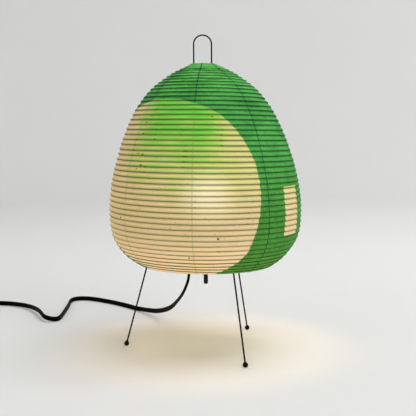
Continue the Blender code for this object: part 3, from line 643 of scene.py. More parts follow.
def washi(name):
    """Dyed washi: long fibres, bark flecks, glue lines over the rib with painted shade, painted band
    shading and glow, and lamp light through it.
    """
    g = Graph(name)
    around, turn, seam = (g.attribute(key) for key in ("around", "turn", "seam"))
    height = g.dot(UPWARDS)
    band = g.math("FRACT", turn)  # 0 just under a rib, 1 at the next one
    sheet = g.term("ShaderNodeCombineXYZ", 0, {"X": around * MEAN_RADIUS, "Y": turn * RIB_PITCH})
    clouds = g.noise(0.035, 4.0)
    small_clouds = g.noise(0.006, 4.0, roughness=0.6)
    grain = g.noise(0.0022, 3.0, g.scaled((1.0, 1.0, 2.2)))

    # Long pale and dark fibres: thin level lines of a stretched noise
    fibre_field = g.noise(0.014, 2.0, g.scaled((1.0, 1.0, 1.6)), distortion=1.4)
    fibres = g.ramp(abs(fibre_field - 0.5), 0.0, 0.012, 1.0, 0.0)

    green = g.mix(g.ramp(clouds, 0.3, 0.7), GREEN_DEEP, GREEN_FRESH)
    green = g.mix(g.ramp(height, 0.130, 0.300, 0.65, 0.0), green, GREEN_WARM)
    green = g.mix(g.ramp(height, 0.122, 0.150, 0.45, 0.0), green, GREEN_LOW)
    green = g.mix(g.ramp(height, 0.330, 0.375, 0.0, 0.50), green, GREEN_HIGH)
    green = g.mix(g.ramp(small_clouds, 0.40, 0.75, 0.0, 0.40), green, GREEN_DARK)
    green = g.mix(g.ramp(grain, 0.50, 0.75, 0.0, 0.30), green, GREEN_PALE)
    green = g.mix(fibres * 0.2, green, GREEN_PALE)

    cream = g.mix(clouds, CREAM, CREAM_WARM)
    cream = g.mix(fibres * 0.22, cream, CREAM_PALE)
    cream = g.mix(g.ramp(small_clouds, 0.45, 0.75, 0.0, 0.30), cream, CREAM_SHADE)
    # Painted light: the cream is painted paler towards the bottom rim, where the paper turns downwards
    cream = g.mix(g.ramp(height, 0.122, 0.185, 0.60, 0.0), cream, CREAM_LOW)

    # Green that has run down the disc: all over at the top, in level streaks further down
    off_middle = around - WASH_AZIMUTH
    off_middle = g.math("MAXIMUM", off_middle * WASH_RIGHT, off_middle * -1.0)
    side = g.ramp(off_middle, 0.25, 1.15, 1.0, 0.15)
    streaks = g.noise(0.012, 4.0, g.scaled((0.16, 1.0, 1.0), sheet), roughness=0.6)
    wet = g.ramp(height, 0.150, 0.335, 0.0, 1.30) * side + (clouds - 0.5) * 0.4 + (streaks - 0.5) * 0.9
    reach = (band - 0.5) * g.ramp(height, 0.230, 0.310, 1.0, 0.45) + wet - 0.5
    wash = g.ramp(reach, -0.22, 0.62)
    wash_colour = g.mix(g.ramp(reach, 0.10, 0.95), WASH_LIGHT, WASH_STRONG)
    film = g.ramp(height, 0.175, 0.26, 0.0, 0.42) * g.ramp(around, -0.6, 0.35, 0.0, 1.0)
    cream = g.mix(film, cream, WASH_LIGHT)
    cream = g.mix(wash * 0.9, cream, wash_colour)
    # Painted glow: a pale patch on the front of the paper at the bulb's height, where the bulb's light
    # looks brightest through it
    aside = abs((around - GLOW_AZIMUTH) * MEAN_RADIUS)
    from_glow = (aside ** 2.0 + abs(height - GLOW_HEIGHT) ** 2.0) ** 0.5
    cream = g.mix(g.ramp(from_glow, 0.0, 0.042, 0.66, 0.0), cream, CREAM_PALE)

    # Bark flecks, and dye caught in short threads along a rib
    spot, chance = g.cells(0.016, sheet)
    fleck = g.ramp(spot, 0.065, 0.09, 1.0, 0.0) * g.ramp(chance, 0.7, 0.71)
    spot, chance = g.cells(0.0075, sheet)
    run = g.ramp(abs(around - RED_RUN_AZIMUTH), 0.07, 0.11, 1.0, 0.0) * g.ramp(height, 0.240, 0.250)
    run *= g.ramp(spot, 0.16, 0.22, 1.0, 0.0) * g.ramp(chance, 0.30, 0.31)
    fleck = g.math("MAXIMUM", fleck, run)
    spot, chance = g.cells(0.0055, sheet)
    dots = g.ramp(spot, 0.09, 0.15, 1.0, 0.0) * g.ramp(chance, 0.60, 0.85)
    by_rib = abs(g.math("FRACT", turn + 0.5) - 0.5)
    caught = g.noise(0.010, 1.0, g.scaled((1.0, 0.12, 1.0), sheet))
    threads = g.ramp(caught, 0.66, 0.7) * g.ramp(by_rib, 0.08, 0.16, 1.0, 0.0)
    cream = g.mix(dots * 0.7, cream, FLECK_LIGHT)
    cream = g.mix(threads * 0.7, cream, GREEN_DARK)
    cream = g.mix(fleck, cream, FLECK_RED)
    green = g.mix(dots * 0.55, green, FLECK_LIGHT)

    pale = g.math("MAXIMUM", disc_mask(g), mark_mask(g))
    colour = g.mix(pale, green, cream)

    # Painted shade and highlight: each band is painted lighter along its middle, where it bulges, and
    # darker beside the ribs
    darker = g.mix(0.15, colour, rgb(0, 0, 0))
    lighter = g.mix(0.17, colour, colour, "ADD")
    colour = g.mix(g.ramp(abs(band - 0.52), 0.08, 0.46, 1.0, 0.0), darker, lighter)

    # Glue and doubled paper along ribs and seams; the line under each rib is partly painted shade of the
    # rib and its fold
    widen = g.ramp(height, 0.125, 0.160, 0.16, 0.0)
    below = g.math("SUBTRACT", 1.0, band / (widen + 0.175), clamp=True)
    above = g.math("DIVIDE", band + widen - 0.93, 0.07, clamp=True)
    rib_glue_and_shade = (below + above) * g.ramp(turn, -0.3, -0.05)
    rib_wash = g.math("MAXIMUM", wash, side * g.ramp(height, 0.140, 0.175))
    rib_tint = g.mix(pale, RIB_ON_GREEN, g.mix(rib_wash, RIB_ON_CREAM, RIB_ON_WASH))
    rib_share = g.ramp(height, 0.335, 0.375, 0.90, 0.72)
    colour = g.mix(g.math("MULTIPLY", rib_glue_and_shade, rib_share, clamp=True), colour, rib_tint)
    seam_line = g.ramp(abs(seam), 0.0005, 0.0012, 1.0, 0.0)
    seam_tint = g.mix(pale, SEAM_ON_GREEN, SEAM_ON_CREAM)
    seam_share = seam_line * (pale * -0.52 + 0.85) * g.ramp(small_clouds, 0.30, 0.60, 0.55, 1.0)
    colour = g.mix(seam_share, colour, seam_tint)

    crumple = g.noise(0.0045, 4.0, g.scaled((1.0, 1.0, 1.5)), roughness=0.6)
    normal = g.bump(fibres, 0.00010, 0.35, g.bump(crumple, 0.00035, 0.55))
    paper = g.principled(Base_Color=colour, Roughness=0.86, Specular_IOR_Level=0.25, Normal=normal)
    # The light let through is painted paler on the same patch
    painted_glow_share = g.ramp(from_glow, 0.0, 0.046, 1.0, 0.0)
    through = g.mix(0.55, colour, g.mix(1.0, colour, colour, "MULTIPLY"))
    through = g.mix(painted_glow_share * pale, through, CREAM_PALE)
    glow = g.term("ShaderNodeBsdfTranslucent", 0, {"Color": through, "Normal": normal})
    return g.done(g.term("ShaderNodeMixShader", 0, {0: PAPER_TRANSLUCENCE, 1: paper, 2: glow}))


def make_looks():
    paper = washi("washi")
    LOOKS.update(
        wire=(painted_wire(), "black_wire"),
        plastic=(moulded_black("moulded_black", 0.42), "black_plastic"),
        plug=(moulded_black("moulded_plug", 0.50), "black_plastic"),
        cord=(cord_rubber(), "black_cord"),
        steel=(metal("zinc_steel", rgb(188, 188, 190), rgb(120, 116, 112), 0.28), "steel"),
        brass=(metal("brass", rgb(222, 184, 112), rgb(148, 112, 60), 0.24), "brass"),
        porcelain=(glazed_porcelain(), "porcelain"),
        bamboo=(split_bamboo(), "bamboo"),
        cream=(paper, "washi_cream"),
        green=(paper, "washi_green"),
        bulb=(opal_bulb(), "opal_glass"),
    )


# Cord
def coil_line():
    """The turns of the coil, from the outermost inwards, and the last part of a turn rising out of it."""
    start, end = COIL_ANGLES
    count = round((end - start) / math.radians(5))
    line = []
    for k in range(count + 1):
        angle = start + (end - start) * k / count
        radius = COIL_FIRST + (COIL_LAST - COIL_FIRST) * k / count
        lift = (COIL_LEAVES_AT - COIL_HEIGHT) * ease(angle, end - COIL_RISE, end - COIL_RISE / 4)
        line.append(COIL_CENTRE + polar(radius, angle, COIL_HEIGHT + lift))
    return line


def cord_section(sides=9):
    """Twin cord: two round cores side by side with a shallow groove between them."""
    core = CORD_THICK / 2
    offset = CORD_WIDTH / 2 - core
    opening = math.radians(112)
    angles = [opening * (2 * k / (sides - 1) - 1) for k in range(sides)]
    right = [(offset + core * math.cos(a), core * math.sin(a)) for a in angles]
    left = [(-across, -up) for across, up in right]
    groove = core * 0.72
    return right + [(0.0, groove)] + left + [(0.0, -groove)]


def make_cord(plug):
    smooth_route = smooth_line(CORD_ROUTE)
    coil = coil_line()
    smooth_tail = smooth_line([coil[-1], *TAIL_ROUTE])
    line = spaced(smooth_route + coil + smooth_tail[1:], CORD_STEP)
    along = distances(line)
    coil_ends = distances(smooth_route + coil)[-1]
    section = cord_section()
    path, rings = [], []
    for k, spot in enumerate(line):
        run = heading(line, k)
        edge_on = (Vector((0, 1, 0)) - run * run.y).normalized()
        upright = (Vector((0, 0, 1)) - run * run.z).normalized()
        across = edge_on.lerp(upright, ease(along[k], *CORD_TURNS_OVER)).normalized()
        outward = (spot - COIL_CENTRE).normalized() if spot.y > TAIL_ROUTE[0][1] else Vector((-1, 0, 0))
        outward = (outward - run * outward.dot(run)).normalized()
        across = across.lerp(outward, ease(along[k], coil_ends - 0.035, coil_ends + 0.008)).normalized()
        other = run.cross(across)
        half_height = abs(across.z) * (CORD_WIDTH - CORD_THICK) / 2 + CORD_THICK / 2
        centre = Vector((spot.x, spot.y, max(spot.z, half_height + 0.0001)))
        path.append(centre)
        rings.append([centre + across * u + other * v for u, v in section])
    cord = ring_piece("cord_run", rings, "cord", "stand", "cord", "cord_coil", "cord_tail", sharp=60)
    distances(path)[-1]


def superellipse(half_width, half_height, power, count=36):
    spots = []
    for angle in all_round(count):
        c, s = math.cos(angle), math.sin(angle)
        reach = (abs(c) ** power + abs(s) ** power) ** (-1 / power)
        spots.append((half_width * c * reach, half_height * s * reach))
    return spots


def lofted(stations, place):
    """Rings at stations of (distance, half width, half height, power)."""
    rings = []
    for along, half_width, half_height, power in stations:
        rings.append([place(along, u, v) for u, v in superellipse(half_width, half_height, power)])
    return rings


def make_plug():
    """A moulded flat-pin plug with finger grips, and a ribbed relief where the cord goes in."""

    def on_plug(along, across, up):
        return Vector((PLUG_X + across, along, PLUG_Z + up))

    low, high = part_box("plug_body")
    back, front = high.y, low.y
    half_width, half_height = (high.x - low.x) / 2, (high.z - low.z) / 2
    stations = [
        (back, half_width * 0.50, half_height * 0.72, 2.6),
        (back - 0.0008, half_width * 0.60, half_height * 0.80, 2.8),
        (back - 0.0040, half_width * 0.74, half_height * 0.90, 3.2),
    ]
    grips = 5
    for k in range(grips * 4 + 1):
        along = back - 0.0055 - 0.0115 * k / (grips * 4)
        pinch = 0.035 * wave(k / 4)
        grow = 0.80 + 0.12 * k / (grips * 4)
        stations.append((along, half_width * (grow - pinch), half_height * (0.90 - pinch), 3.6))
    stations += [
        (front + 0.0075, half_width * 0.97, half_height * 0.97, 4.5),
        (front + 0.0060, half_width, half_height, 5.0), (front + 0.0010, half_width, half_height, 5.0),
        (front + 0.0003, half_width * 0.985, half_height * 0.975, 5.0),
        (front, half_width * 0.955, half_height * 0.93, 5.0),
    ]
    body = ring_piece("plug_moulding", lofted(stations, on_plug), "plug", "stand", "plug_body", sharp=50)

    low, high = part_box("plug_relief")
    stations = []
    ribs = 6
    for k in range(ribs * 4 + 1):
        t = k / (ribs * 4)
        depth = 0.0007 * ease(wave(ribs * t), 0.35, 0.9)
        along = high.y + (low.y - high.y) * t
        stations.append((along, 0.0043 + 0.0016 * t - depth, 0.0026 + 0.0022 * t - depth, 2.3))
    rings = lofted(stations, on_plug)
    relief = ring_piece("plug_bend_relief", rings, "plug", "stand", "plug_relief", sharp=50)

    pins = []
    for number in (1, 2):
        low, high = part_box(f"plug_pin_{number}")
        bm = bmesh.new()
        made = bmesh.ops.create_cube(bm, size=1.0)["verts"]
        bmesh.ops.scale(bm, vec=high - low, verts=made)
        bmesh.ops.translate(bm, vec=(low + high) / 2, verts=made)
        edges = list({edge for vertex in made for edge in vertex.link_edges})
        bmesh.ops.bevel(bm, geom=edges, offset=0.00035, segments=3, affect="EDGES")
        pins.append(finished(f"plug_blade_{number}", bm, "brass", "stand", f"plug_pin_{number}"))
    return [body, relief, *pins, make_tie()]


def make_tie():
    """A soft band round the coil's turns, its end lapped over itself."""
    inner, outer = COIL_LAST - CORD_THICK / 2 - 0.0012, COIL_FIRST + CORD_THICK / 2 + 0.0003
    bottom, top = COIL_HEIGHT - CORD_WIDTH / 2 - 0.0003, COIL_HEIGHT + CORD_WIDTH / 2 + 0.0003
    middle = (inner + outer) / 2
    corners = [
        (middle, 0.0, bottom - 0.0003), (outer + 0.0004, 0.0, bottom - 0.0003),
        (outer + 0.0004, 0.0, top + 0.0004), (inner - 0.0004, 0.0, top + 0.0004),
        (inner - 0.0004, 0.0, bottom - 0.0003), (middle - 0.0004, 0.0, bottom - 0.0003),
    ]
    path = bent(corners, 0.0016, 5)
    turn = Matrix.Rotation(TIE_AZIMUTH, 4, "Z")
    rings = []
    for k, spot in enumerate(path):
        across = Vector((0, TIE_HALF_WIDTH, 0))
        out = heading(path, k).cross(Vector((0, TIE_HALF_THICK, 0)))
        ring = [spot + across + out, spot - across + out, spot - across - out, spot + across - out]
        rings.append([COIL_CENTRE + turn @ p for p in ring])
    return ring_piece("cord_band", rings, "plug", "stand", "cord_tie", sharp=50)


# Shade
class ShadeLine:
    """The shade's outer side and its hems, by distance down the paper from the top rim."""

    def __init__(self):
        outline = TOP_HEM + SHADE_OUTLINE + BOTTOM_HEM
        self.line = smooth_line([(radius, 0.0, height) for radius, height in outline], 24)
        raw = distances(self.line)
        top = raw[len(TOP_HEM) * 24]
        self.along = [value - top for value in raw]
        self.whole = raw[(len(TOP_HEM) + len(SHADE_OUTLINE) - 1) * 24] - top

    def point(self, along):
        """(spot, inward direction) at that distance."""
        low, high = 0, len(self.line) - 1
        while high - low > 1:
            middle = (low + high) // 2
            if self.along[middle] <= along:
                low = middle
            else:
                high = middle
        share = (along - self.along[low]) / (self.along[high] - self.along[low])
        spot = self.line[low].lerp(self.line[high], share)
        before, after = self.line[max(low - 1, 0)], self.line[min(high + 1, len(self.line) - 1)]
        run = (after - before).normalized()
        return spot, Vector((run.z, 0.0, -run.x))


def askew(spot):
    """Where a point of the shade hangs: its top a little to one side, its bottom rim lower on the right."""
    high = ease(spot.z, 0.19, 0.39)
    low = 1 - ease(spot.z, 0.117, 0.140)
    return Vector((spot.x + LEAN * high, spot.y, spot.z + RIM_TILT * spot.x * low))


def paper_rows(shade, azimuth):
    """Distances down the paper for a panel's rows, dense at each rib and round the hems."""
    offset = RIB_START + RIB_PITCH * (azimuth / FULL_TURN)
    first = math.ceil((EDGE_MARGIN - offset) / RIB_PITCH)
    last = math.floor((shade.whole - 0.002 - offset) / RIB_PITCH)
    rows = [offset + RIB_PITCH * (k + t) for k in range(first, last) for t in BAND_ROWS]
    rows.append(offset + RIB_PITCH * last)
    start, end = shade.along[0], shade.along[-1]
    head = [start + (rows[0] - start) * k / 14 for k in range(14)]
    tail = [rows[-1] + (end - rows[-1]) * k / 10 for k in range(1, 11)]
    return head + rows + tail


def sag_at(band, turn, azimuth):
    """How far the paper is drawn in from the line over its ribs."""
    which = math.floor(turn + 1e-4)
    place = Vector((math.cos(azimuth) * 2.2, math.sin(azimuth) * 2.2, which * 1.7))
    depth = SAG * (1.0 + 0.55 * noise.noise(place))
    crease = 0.5 + 0.35 * noise.noise(place * 1.9 + Vector((9.1, 3.3, 0.0)))
    rise = ease(band, -0.02, 0.22)
    fall = (1 - band) ** 0.85
    fold = 0.16 * math.exp(-(((band - crease) / 0.07) ** 2)) * (0.5 + noise.noise(place * 3.1))
    return depth * (rise * fall * 1.18 + fold * rise * (1 - band))


def make_gore(index, shade):
    """One paper panel over the ribs. Its right edge is glued over the next panel's left one."""
    left = FIRST_SEAM + (index - 1) * FULL_TURN / GORES
    middle = left + math.pi / GORES
    bm = bmesh.new()
    layers = {key: bm.verts.layers.float.new(key) for key in ("around", "turn", "seam")}
    # Near where the paper would be without its sag
    over_ribs = bm.verts.layers.float_vector.new("over_ribs")
    centre_angle = (middle - math.pi / 2) % FULL_TURN
    rows = paper_rows(shade, centre_angle)
    grid = []
    for row in rows:
        spot, _ = shade.point(row)
        lap = SEAM_LAP / spot.x
        width = FULL_TURN / GORES + lap
        inner_part = ease(row, 0.0, EDGE_MARGIN) * (1 - ease(row, shade.whole - 0.004, shade.whole))
        line = []
        for column in range(GORE_COLUMNS + 1):
            azimuth = left + width * column / GORE_COLUMNS
            angle = centre_angle + azimuth - middle
            along = row + RIB_PITCH * (azimuth - middle) / FULL_TURN * inner_part
            turn = (along - RIB_START) / RIB_PITCH - angle / FULL_TURN
            band = (turn + 1e-4) % 1.0
            held = min(ease(turn, -1.2, -0.2), 1 - ease(along, shade.whole - 0.003, shade.whole))
            spot, inward = shade.point(along)
            depth = sag_at(band, turn, angle) * held
            place = polar(spot.x, azimuth - math.pi / 2, spot.z)
            smooth_place = askew(place)
            crumple = 0.00022 * noise.noise(place * 95) + 0.00012 * noise.noise(place * 260)
            depth += crumple * inner_part * (0.25 + 0.75 * min(1.0, 4 * band * (1 - band)))
            over = ease(column, GORE_COLUMNS - 1.6, GORE_COLUMNS - 0.6)
            spot = spot + inward * (depth - SEAM_STEP * over)
            vertex = bm.verts.new(askew(polar(spot.x, azimuth - math.pi / 2, spot.z)))
            vertex[over_ribs] = smooth_place.lerp(vertex.co, 0.25)
            vertex[layers["around"]] = azimuth
            vertex[layers["turn"]] = turn
            nearest = min(azimuth - left, left + FULL_TURN / GORES - azimuth, key=abs)
            vertex[layers["seam"]] = nearest * spot.x - SEAM_LAP / 2 * (1 if azimuth < middle else -1)
            line.append(vertex)
        grid.append(line)
    for one, other in zip(grid, grid[1:]):
        for column in range(GORE_COLUMNS):
            bm.faces.new((one[column], other[column], other[column + 1], one[column + 1]))
    dye = "cream" if index in CREAM_GORES else "green"
    finished(f"paper_panel_{index}", bm, dye, "shade", f"shade_gore_{index}", sharp=180)


def make_rib(shade):
    """The one long split-bamboo rib, wound down inside the paper."""
    turns = (shade.whole - RIB_END_GAP - RIB_START) / RIB_PITCH
    steps = 60
    rings = []
    for k in range(int(turns * steps) + 1):
        spot, inward = shade.point(RIB_START + RIB_PITCH * k / steps)
        centre = spot + inward * RIB_INSET
        down = Vector((inward.z, 0.0, -inward.x))
        spin = Matrix.Rotation(FULL_TURN * k / steps, 3, "Z")
        ring = []
        for a in all_round(8):
            off = down * (RIB_WIDE * math.cos(a)) + inward * (RIB_THICK * math.sin(a))
            ring.append(askew(spin @ (centre + off)))
        rings.append(ring)
    ring_piece("wound_rib", rings, "bamboo", "shade", "shade_rib", sharp=60)


def make_shade():
    shade = ShadeLine()
    for index in range(1, GORES + 1):
        make_gore(index, shade)
    make_rib(shade)
    for end, count in (("top", 64), ("bottom", 128)):
        low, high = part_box(f"shade_{end}_ring")
        wire = (high.z - low.z) / 2
        path = [askew(p) for p in circle((high.x - low.x) / 2 - wire, (low.z + high.z) / 2, count)]
        wire_piece(f"{end}_ring_wire", path, wire, "wire", "shade", f"shade_{end}_ring", True)
    level = LEG_HEIGHT + LEG_WIRE + 0.0003 + HOOK_WIRE
    for side, degrees in LEG_AZIMUTHS.items():
        azimuth = math.radians(degrees)
        corners = [polar(radius, azimuth, level) for radius in (HOOK_OUTER, HOOK_INNER)]
        path = bent([*corners, polar(HOOK_INNER, azimuth, level + HOOK_TURN_UP)], 0.0015)
        wire_piece(f"rim_hook_{side}", path, HOOK_WIRE, "wire", "shade", f"shade_hook_{side}")


# Stand
def make_legs():
    low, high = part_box("foot_left")
    foot_radius = (high.y - low.y) / 2
    lean = Vector((math.sin(LEG_LEAN), 0.0, -math.cos(LEG_LEAN)))
    ball = Vector((FOOT_CIRCLE, 0.0, foot_radius))
    bend = ball - lean * ((LEG_HEIGHT - foot_radius) / math.cos(LEG_LEAN))
    path = bent([ball - lean * foot_radius * 0.8, bend, (0.0250, 0.0, LEG_HEIGHT)], LEG_BEND)
    flat = math.asin(0.0012 / foot_radius)
    sink = foot_radius * (1 - math.cos(flat))
    angles = [flat + (math.pi - flat) * k / 20 for k in range(20)]
    arc = [(foot_radius * math.sin(a), foot_radius * (1 - math.cos(a)) - sink) for a in angles]
    outline = [(0.0, 0.0), *arc, (0.0, 2 * foot_radius - sink)]
    collar = [ball + lean * (d - foot_radius * 0.93) for d in (-0.0006, -0.0004, 0.0006)]
    for side, degrees in LEG_AZIMUTHS.items():
        spin = Matrix.Rotation(math.radians(degrees), 3, "Z")
        leg = [spin @ p for p in path]
        wire_piece(f"wire_leg_{side}", leg, LEG_WIRE, "wire", "stand", f"leg_{side}", sides=16)
        bm = bmesh.new()
        add_turned(bm, outline, 40, spin @ Vector((FOOT_CIRCLE, 0.0, 0.0)))
        add_wire(bm, [spin @ p for p in collar], LEG_WIRE * 1.35, 16)
        finished(f"ball_foot_{side}", bm, "wire", "stand", f"foot_{side}")


def make_hub():
    """The plate that the legs and the stretcher are pushed into, with a set screw over each leg."""
    low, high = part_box("leg_hub")
    radius = high.x
    outline = [
        (HUB_BORE, low.z), (radius * 0.38, low.z), (radius * 0.42, low.z + 0.0008),
        (radius * 0.90, low.z + 0.0008), (radius * 0.94, low.z), (radius, low.z + 0.0012),
        (radius, high.z - 0.0012), (radius - 0.0012, high.z), (radius * 0.70, high.z),
        (radius * 0.66, high.z - 0.0007), (radius * 0.40, high.z - 0.0007), (radius * 0.36, high.z),
        (HUB_BORE, high.z),
    ]
    turned_piece("hub_plate", outline, "wire", "stand", "leg_hub", 0.0005, 96)
    bm = bmesh.new()
    for degrees in LEG_AZIMUTHS.values():
        spot = polar(radius * 0.80, math.radians(degrees), 0.0)
        above = [
            (0.0, -0.0002), (0.0021, -0.0002), (0.0021, 0.0006), (0.0011, 0.0008), (0.0011, 0.0001),
            (0.0, 0.0001),
        ]
        add_turned(bm, [(reach, high.z + rise) for reach, rise in above], 24, spot)
    finished("leg_set_screws", bm, "steel", "stand")


def make_nipple():
    low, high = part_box("threaded_nipple")
    bm = bmesh.new()
    add_thread(bm, high.x, 0.0005, 0.0010, low.z, high.z, 0.0032)
    finished("nipple_thread", bm, "steel", "stand", "threaded_nipple")
    low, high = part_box("hub_nut")
    flats = min(high.x - low.x, high.y - low.y) / 2
    corners = []
    for azimuth in all_round(48):
        off = (azimuth + math.pi / 6) % (math.pi / 3) - math.pi / 6
        corners.append(polar(flats / math.cos(off), azimuth, 0.0))
    rings = [circle(HUB_BORE, low.z, 48), circle(flats * 0.985, low.z, 48)]
    rings += [[p + Vector((0.0, 0.0, z)) for p in corners] for z in (low.z + 0.0006, high.z - 0.0006)]
    rings += [circle(flats * 0.985, high.z, 48), circle(HUB_BORE, high.z, 48)]
    ring_piece("hub_hex_nut", rings, "steel", "stand", "hub_nut", closed=True, sharp=25)


def make_stretcher():
    """The hairpin whose loop is the handle."""
    low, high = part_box("stretcher_hairpin")
    wire = (high.y - low.y) / 2
    side = [
        (STRETCHER_FOOT, 0.0, low.z), (STRETCHER_FOOT, 0.0, 0.1500), (0.0340, 0.0, 0.1950),
        (0.0340, 0.0, 0.2500), (0.0200, 0.0, SHOULDER_HEIGHT - 0.0075),
    ]
    centre = LOOP_TOP - LOOP_HALF
    loop = []
    for k in range(33):
        a = math.pi * k / 32
        loop.append(Vector((LOOP_HALF * math.cos(a) + LOOP_SHIFT, 0.0, centre + LOOP_HALF * math.sin(a))))
    right = bent([*side, (LOOP_HALF + LOOP_SHIFT, 0.0, SHOULDER_HEIGHT), loop[0]], 0.0022)
    mirrored = [(-x, y, z) for x, y, z in side]
    left = bent([*mirrored, (-LOOP_HALF + LOOP_SHIFT, 0.0, SHOULDER_HEIGHT), loop[-1]], 0.0022)
    path = right[:-1] + loop + left[-2::-1]
    wire_piece("hairpin_wire", path, wire, "wire", "stand", "stretcher_hairpin", sides=16)


def make_switch():
    low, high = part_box("switch_body")
    radius = high.x
    outline = [
        (0.0022, low.z), (radius * 0.42, low.z), (radius * 0.46, low.z + 0.0006),
        (radius * 0.86, low.z + 0.0006), (radius * 0.94, low.z + 0.0016), (radius, low.z + 0.0030),
        (radius, high.z - 0.0030), (radius * 0.96, high.z - 0.0026), (radius * 0.96, high.z - 0.0020),
        (radius, high.z - 0.0016), (radius, high.z), (HUB_BORE, high.z), (HUB_BORE, low.z + 0.0060),
        (0.0022, low.z + 0.0060),
    ]
    turned_piece("switch_housing", outline, "plastic", "stand", "switch_body", segments=72)
    low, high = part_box("switch_shaft")
    turned_piece(
        "switch_spindle",
        [(0.0, low.z), (0.0015, low.z), (0.0015, high.z), (0.0, high.z)],
        "brass", "knob", "switch_shaft", 0.0002, 32,
    )
    make_knob()


def make_knob():
    """A small fluted knob with a rounded end."""
    low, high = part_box("switch_knob")
    radius = high.x
    stations = [
        (0.0004, low.z, 0.0), (radius * 0.45, low.z + 0.00005, 0.0),
        (radius * 0.72, low.z + 0.0003, 0.2), (radius * 0.90, low.z + 0.0008, 0.6),
        (radius * 0.985, low.z + 0.0016, 1.0), (radius, low.z + 0.0024, 1.0),
        (radius, high.z - 0.0030, 1.0), (radius, high.z - 0.0022, 0.2), (radius, high.z - 0.0018, 0.0),
        (radius, high.z - 0.0004, 0.0), (radius * 0.90, high.z, 0.0), (0.0018, high.z, 0.0),
    ]
    bm = bmesh.new()
    add_fluted(bm, stations, 14, 0.00028, 112, power=2)
    finished("fluted_knob", bm, "plastic", "knob", "switch_knob")


def make_socket():
    """Cap, shell, porcelain floor and brass screw shell of the lamp holder."""
    low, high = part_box("socket_cap")
    radius = high.x
    wall = 0.0013
    turned_piece(
        "holder_cap",
        [
            (HUB_BORE, low.z), (radius * 0.60, low.z), (radius * 0.86, low.z + 0.0012),
            (radius * 0.97, low.z + 0.0036), (radius, low.z + 0.0060), (radius, high.z),
            (radius - wall, high.z), (radius - wall, low.z + 0.0045), (radius * 0.58, low.z + wall),
            (HUB_BORE, low.z + wall),
        ],
        "plastic", "stand", "socket_cap", 0.0006, 96,
    )
    low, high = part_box("socket_shell")
    radius = high.x
    stations = [
        (radius * 0.95, low.z, 0.0), (radius, low.z + 0.0010, 0.0), (radius, low.z + 0.0030, 0.0),
        (radius, low.z + 0.0038, 1.0), (radius, low.z + 0.0125, 1.0), (radius, low.z + 0.0133, 0.0),
        (radius, high.z - 0.0060, 0.0), (radius * 0.975, high.z - 0.0055, 0.0),
        (radius * 0.975, high.z - 0.0035, 0.0), (radius, high.z - 0.0030, 0.0),
        (radius, high.z - 0.0006, 0.0), (radius - 0.0006, high.z, 0.0), (radius - wall, high.z, 0.0),
        (radius - wall, low.z + wall, 0.0), (0.0140, low.z + wall, 0.0), (0.0140, low.z, 0.0),
    ]
    bm = bmesh.new()
    add_fluted(bm, stations, 36, 0.00035, 144, closed=True)
    finished("holder_shell", bm, "plastic", "stand", "socket_shell", sharp=30)
    low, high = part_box("socket_insulator")
    turned_piece(
        "porcelain_floor",
        [(0.0, low.z), (high.x, low.z), (high.x, high.z), (high.x * 0.9, high.z), (0.0, high.z)],
        "porcelain", "stand", "socket_insulator",
    )
    low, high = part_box("screw_shell")
    bm = bmesh.new()
    add_thread(bm, high.x, 0.0003, 0.0036, low.z, high.z, high.x - 0.0006, 72)
    finished("brass_screw_shell", bm, "brass", "stand", "screw_shell")
    low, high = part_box("centre_contact")
    turned_piece(
        "spring_contact",
        [(0.0, low.z), (high.x, low.z), (high.x * 0.8, high.z), (0.0, high.z)],
        "brass", "stand", "centre_contact", 0.0003, 32,
    )


def make_bulb():
    low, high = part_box("bulb_tip")
    turned_piece(
        "bulb_contact",
        [(0.0, low.z), (high.x * 0.66, low.z), (high.x, low.z + 0.001), (high.x, high.z), (0.0, high.z)],
        "brass", "bulb_carrier", "bulb_tip", 0.0003, 40,
    )
    low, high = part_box("bulb_base")
    bm = bmesh.new()
    end = [(0.0, 0.0), (0.0050, 0.0), (0.0116, 0.0020), (0.0120, 0.0030), (0.0, 0.0030)]
    add_turned(bm, [(reach, low.z + rise) for reach, rise in end])
    add_thread(bm, high.x, 0.0007, 0.0036, low.z + 0.0028, high.z - 0.0024, 0.0)
    neck, collar = high.x - 0.0007, high.z - 0.0026
    add_turned(bm, [(0.0, collar), (neck, collar), (neck, high.z), (0.0, high.z)])
    finished("bulb_screw_base", bm, "steel", "bulb", "bulb_base")
    low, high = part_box("bulb_glass")
    radius = high.x
    centre = high.z - radius
    neck_angle = math.radians(-52)
    outline = [(0.0, low.z), (0.0112, low.z), (0.0114, low.z + 0.003), (0.0120, low.z + 0.0065)]
    for k in range(29):
        a = neck_angle + (math.pi / 2 - neck_angle) * k / 28
        outline.append((max(0.0, radius * math.cos(a)) if k < 28 else 0.0, centre + radius * math.sin(a)))
    bm = bmesh.new()
    add_turned(bm, outline, 72)
    finished("bulb_globe", bm, "bulb", "bulb", "bulb_glass", sharp=60)


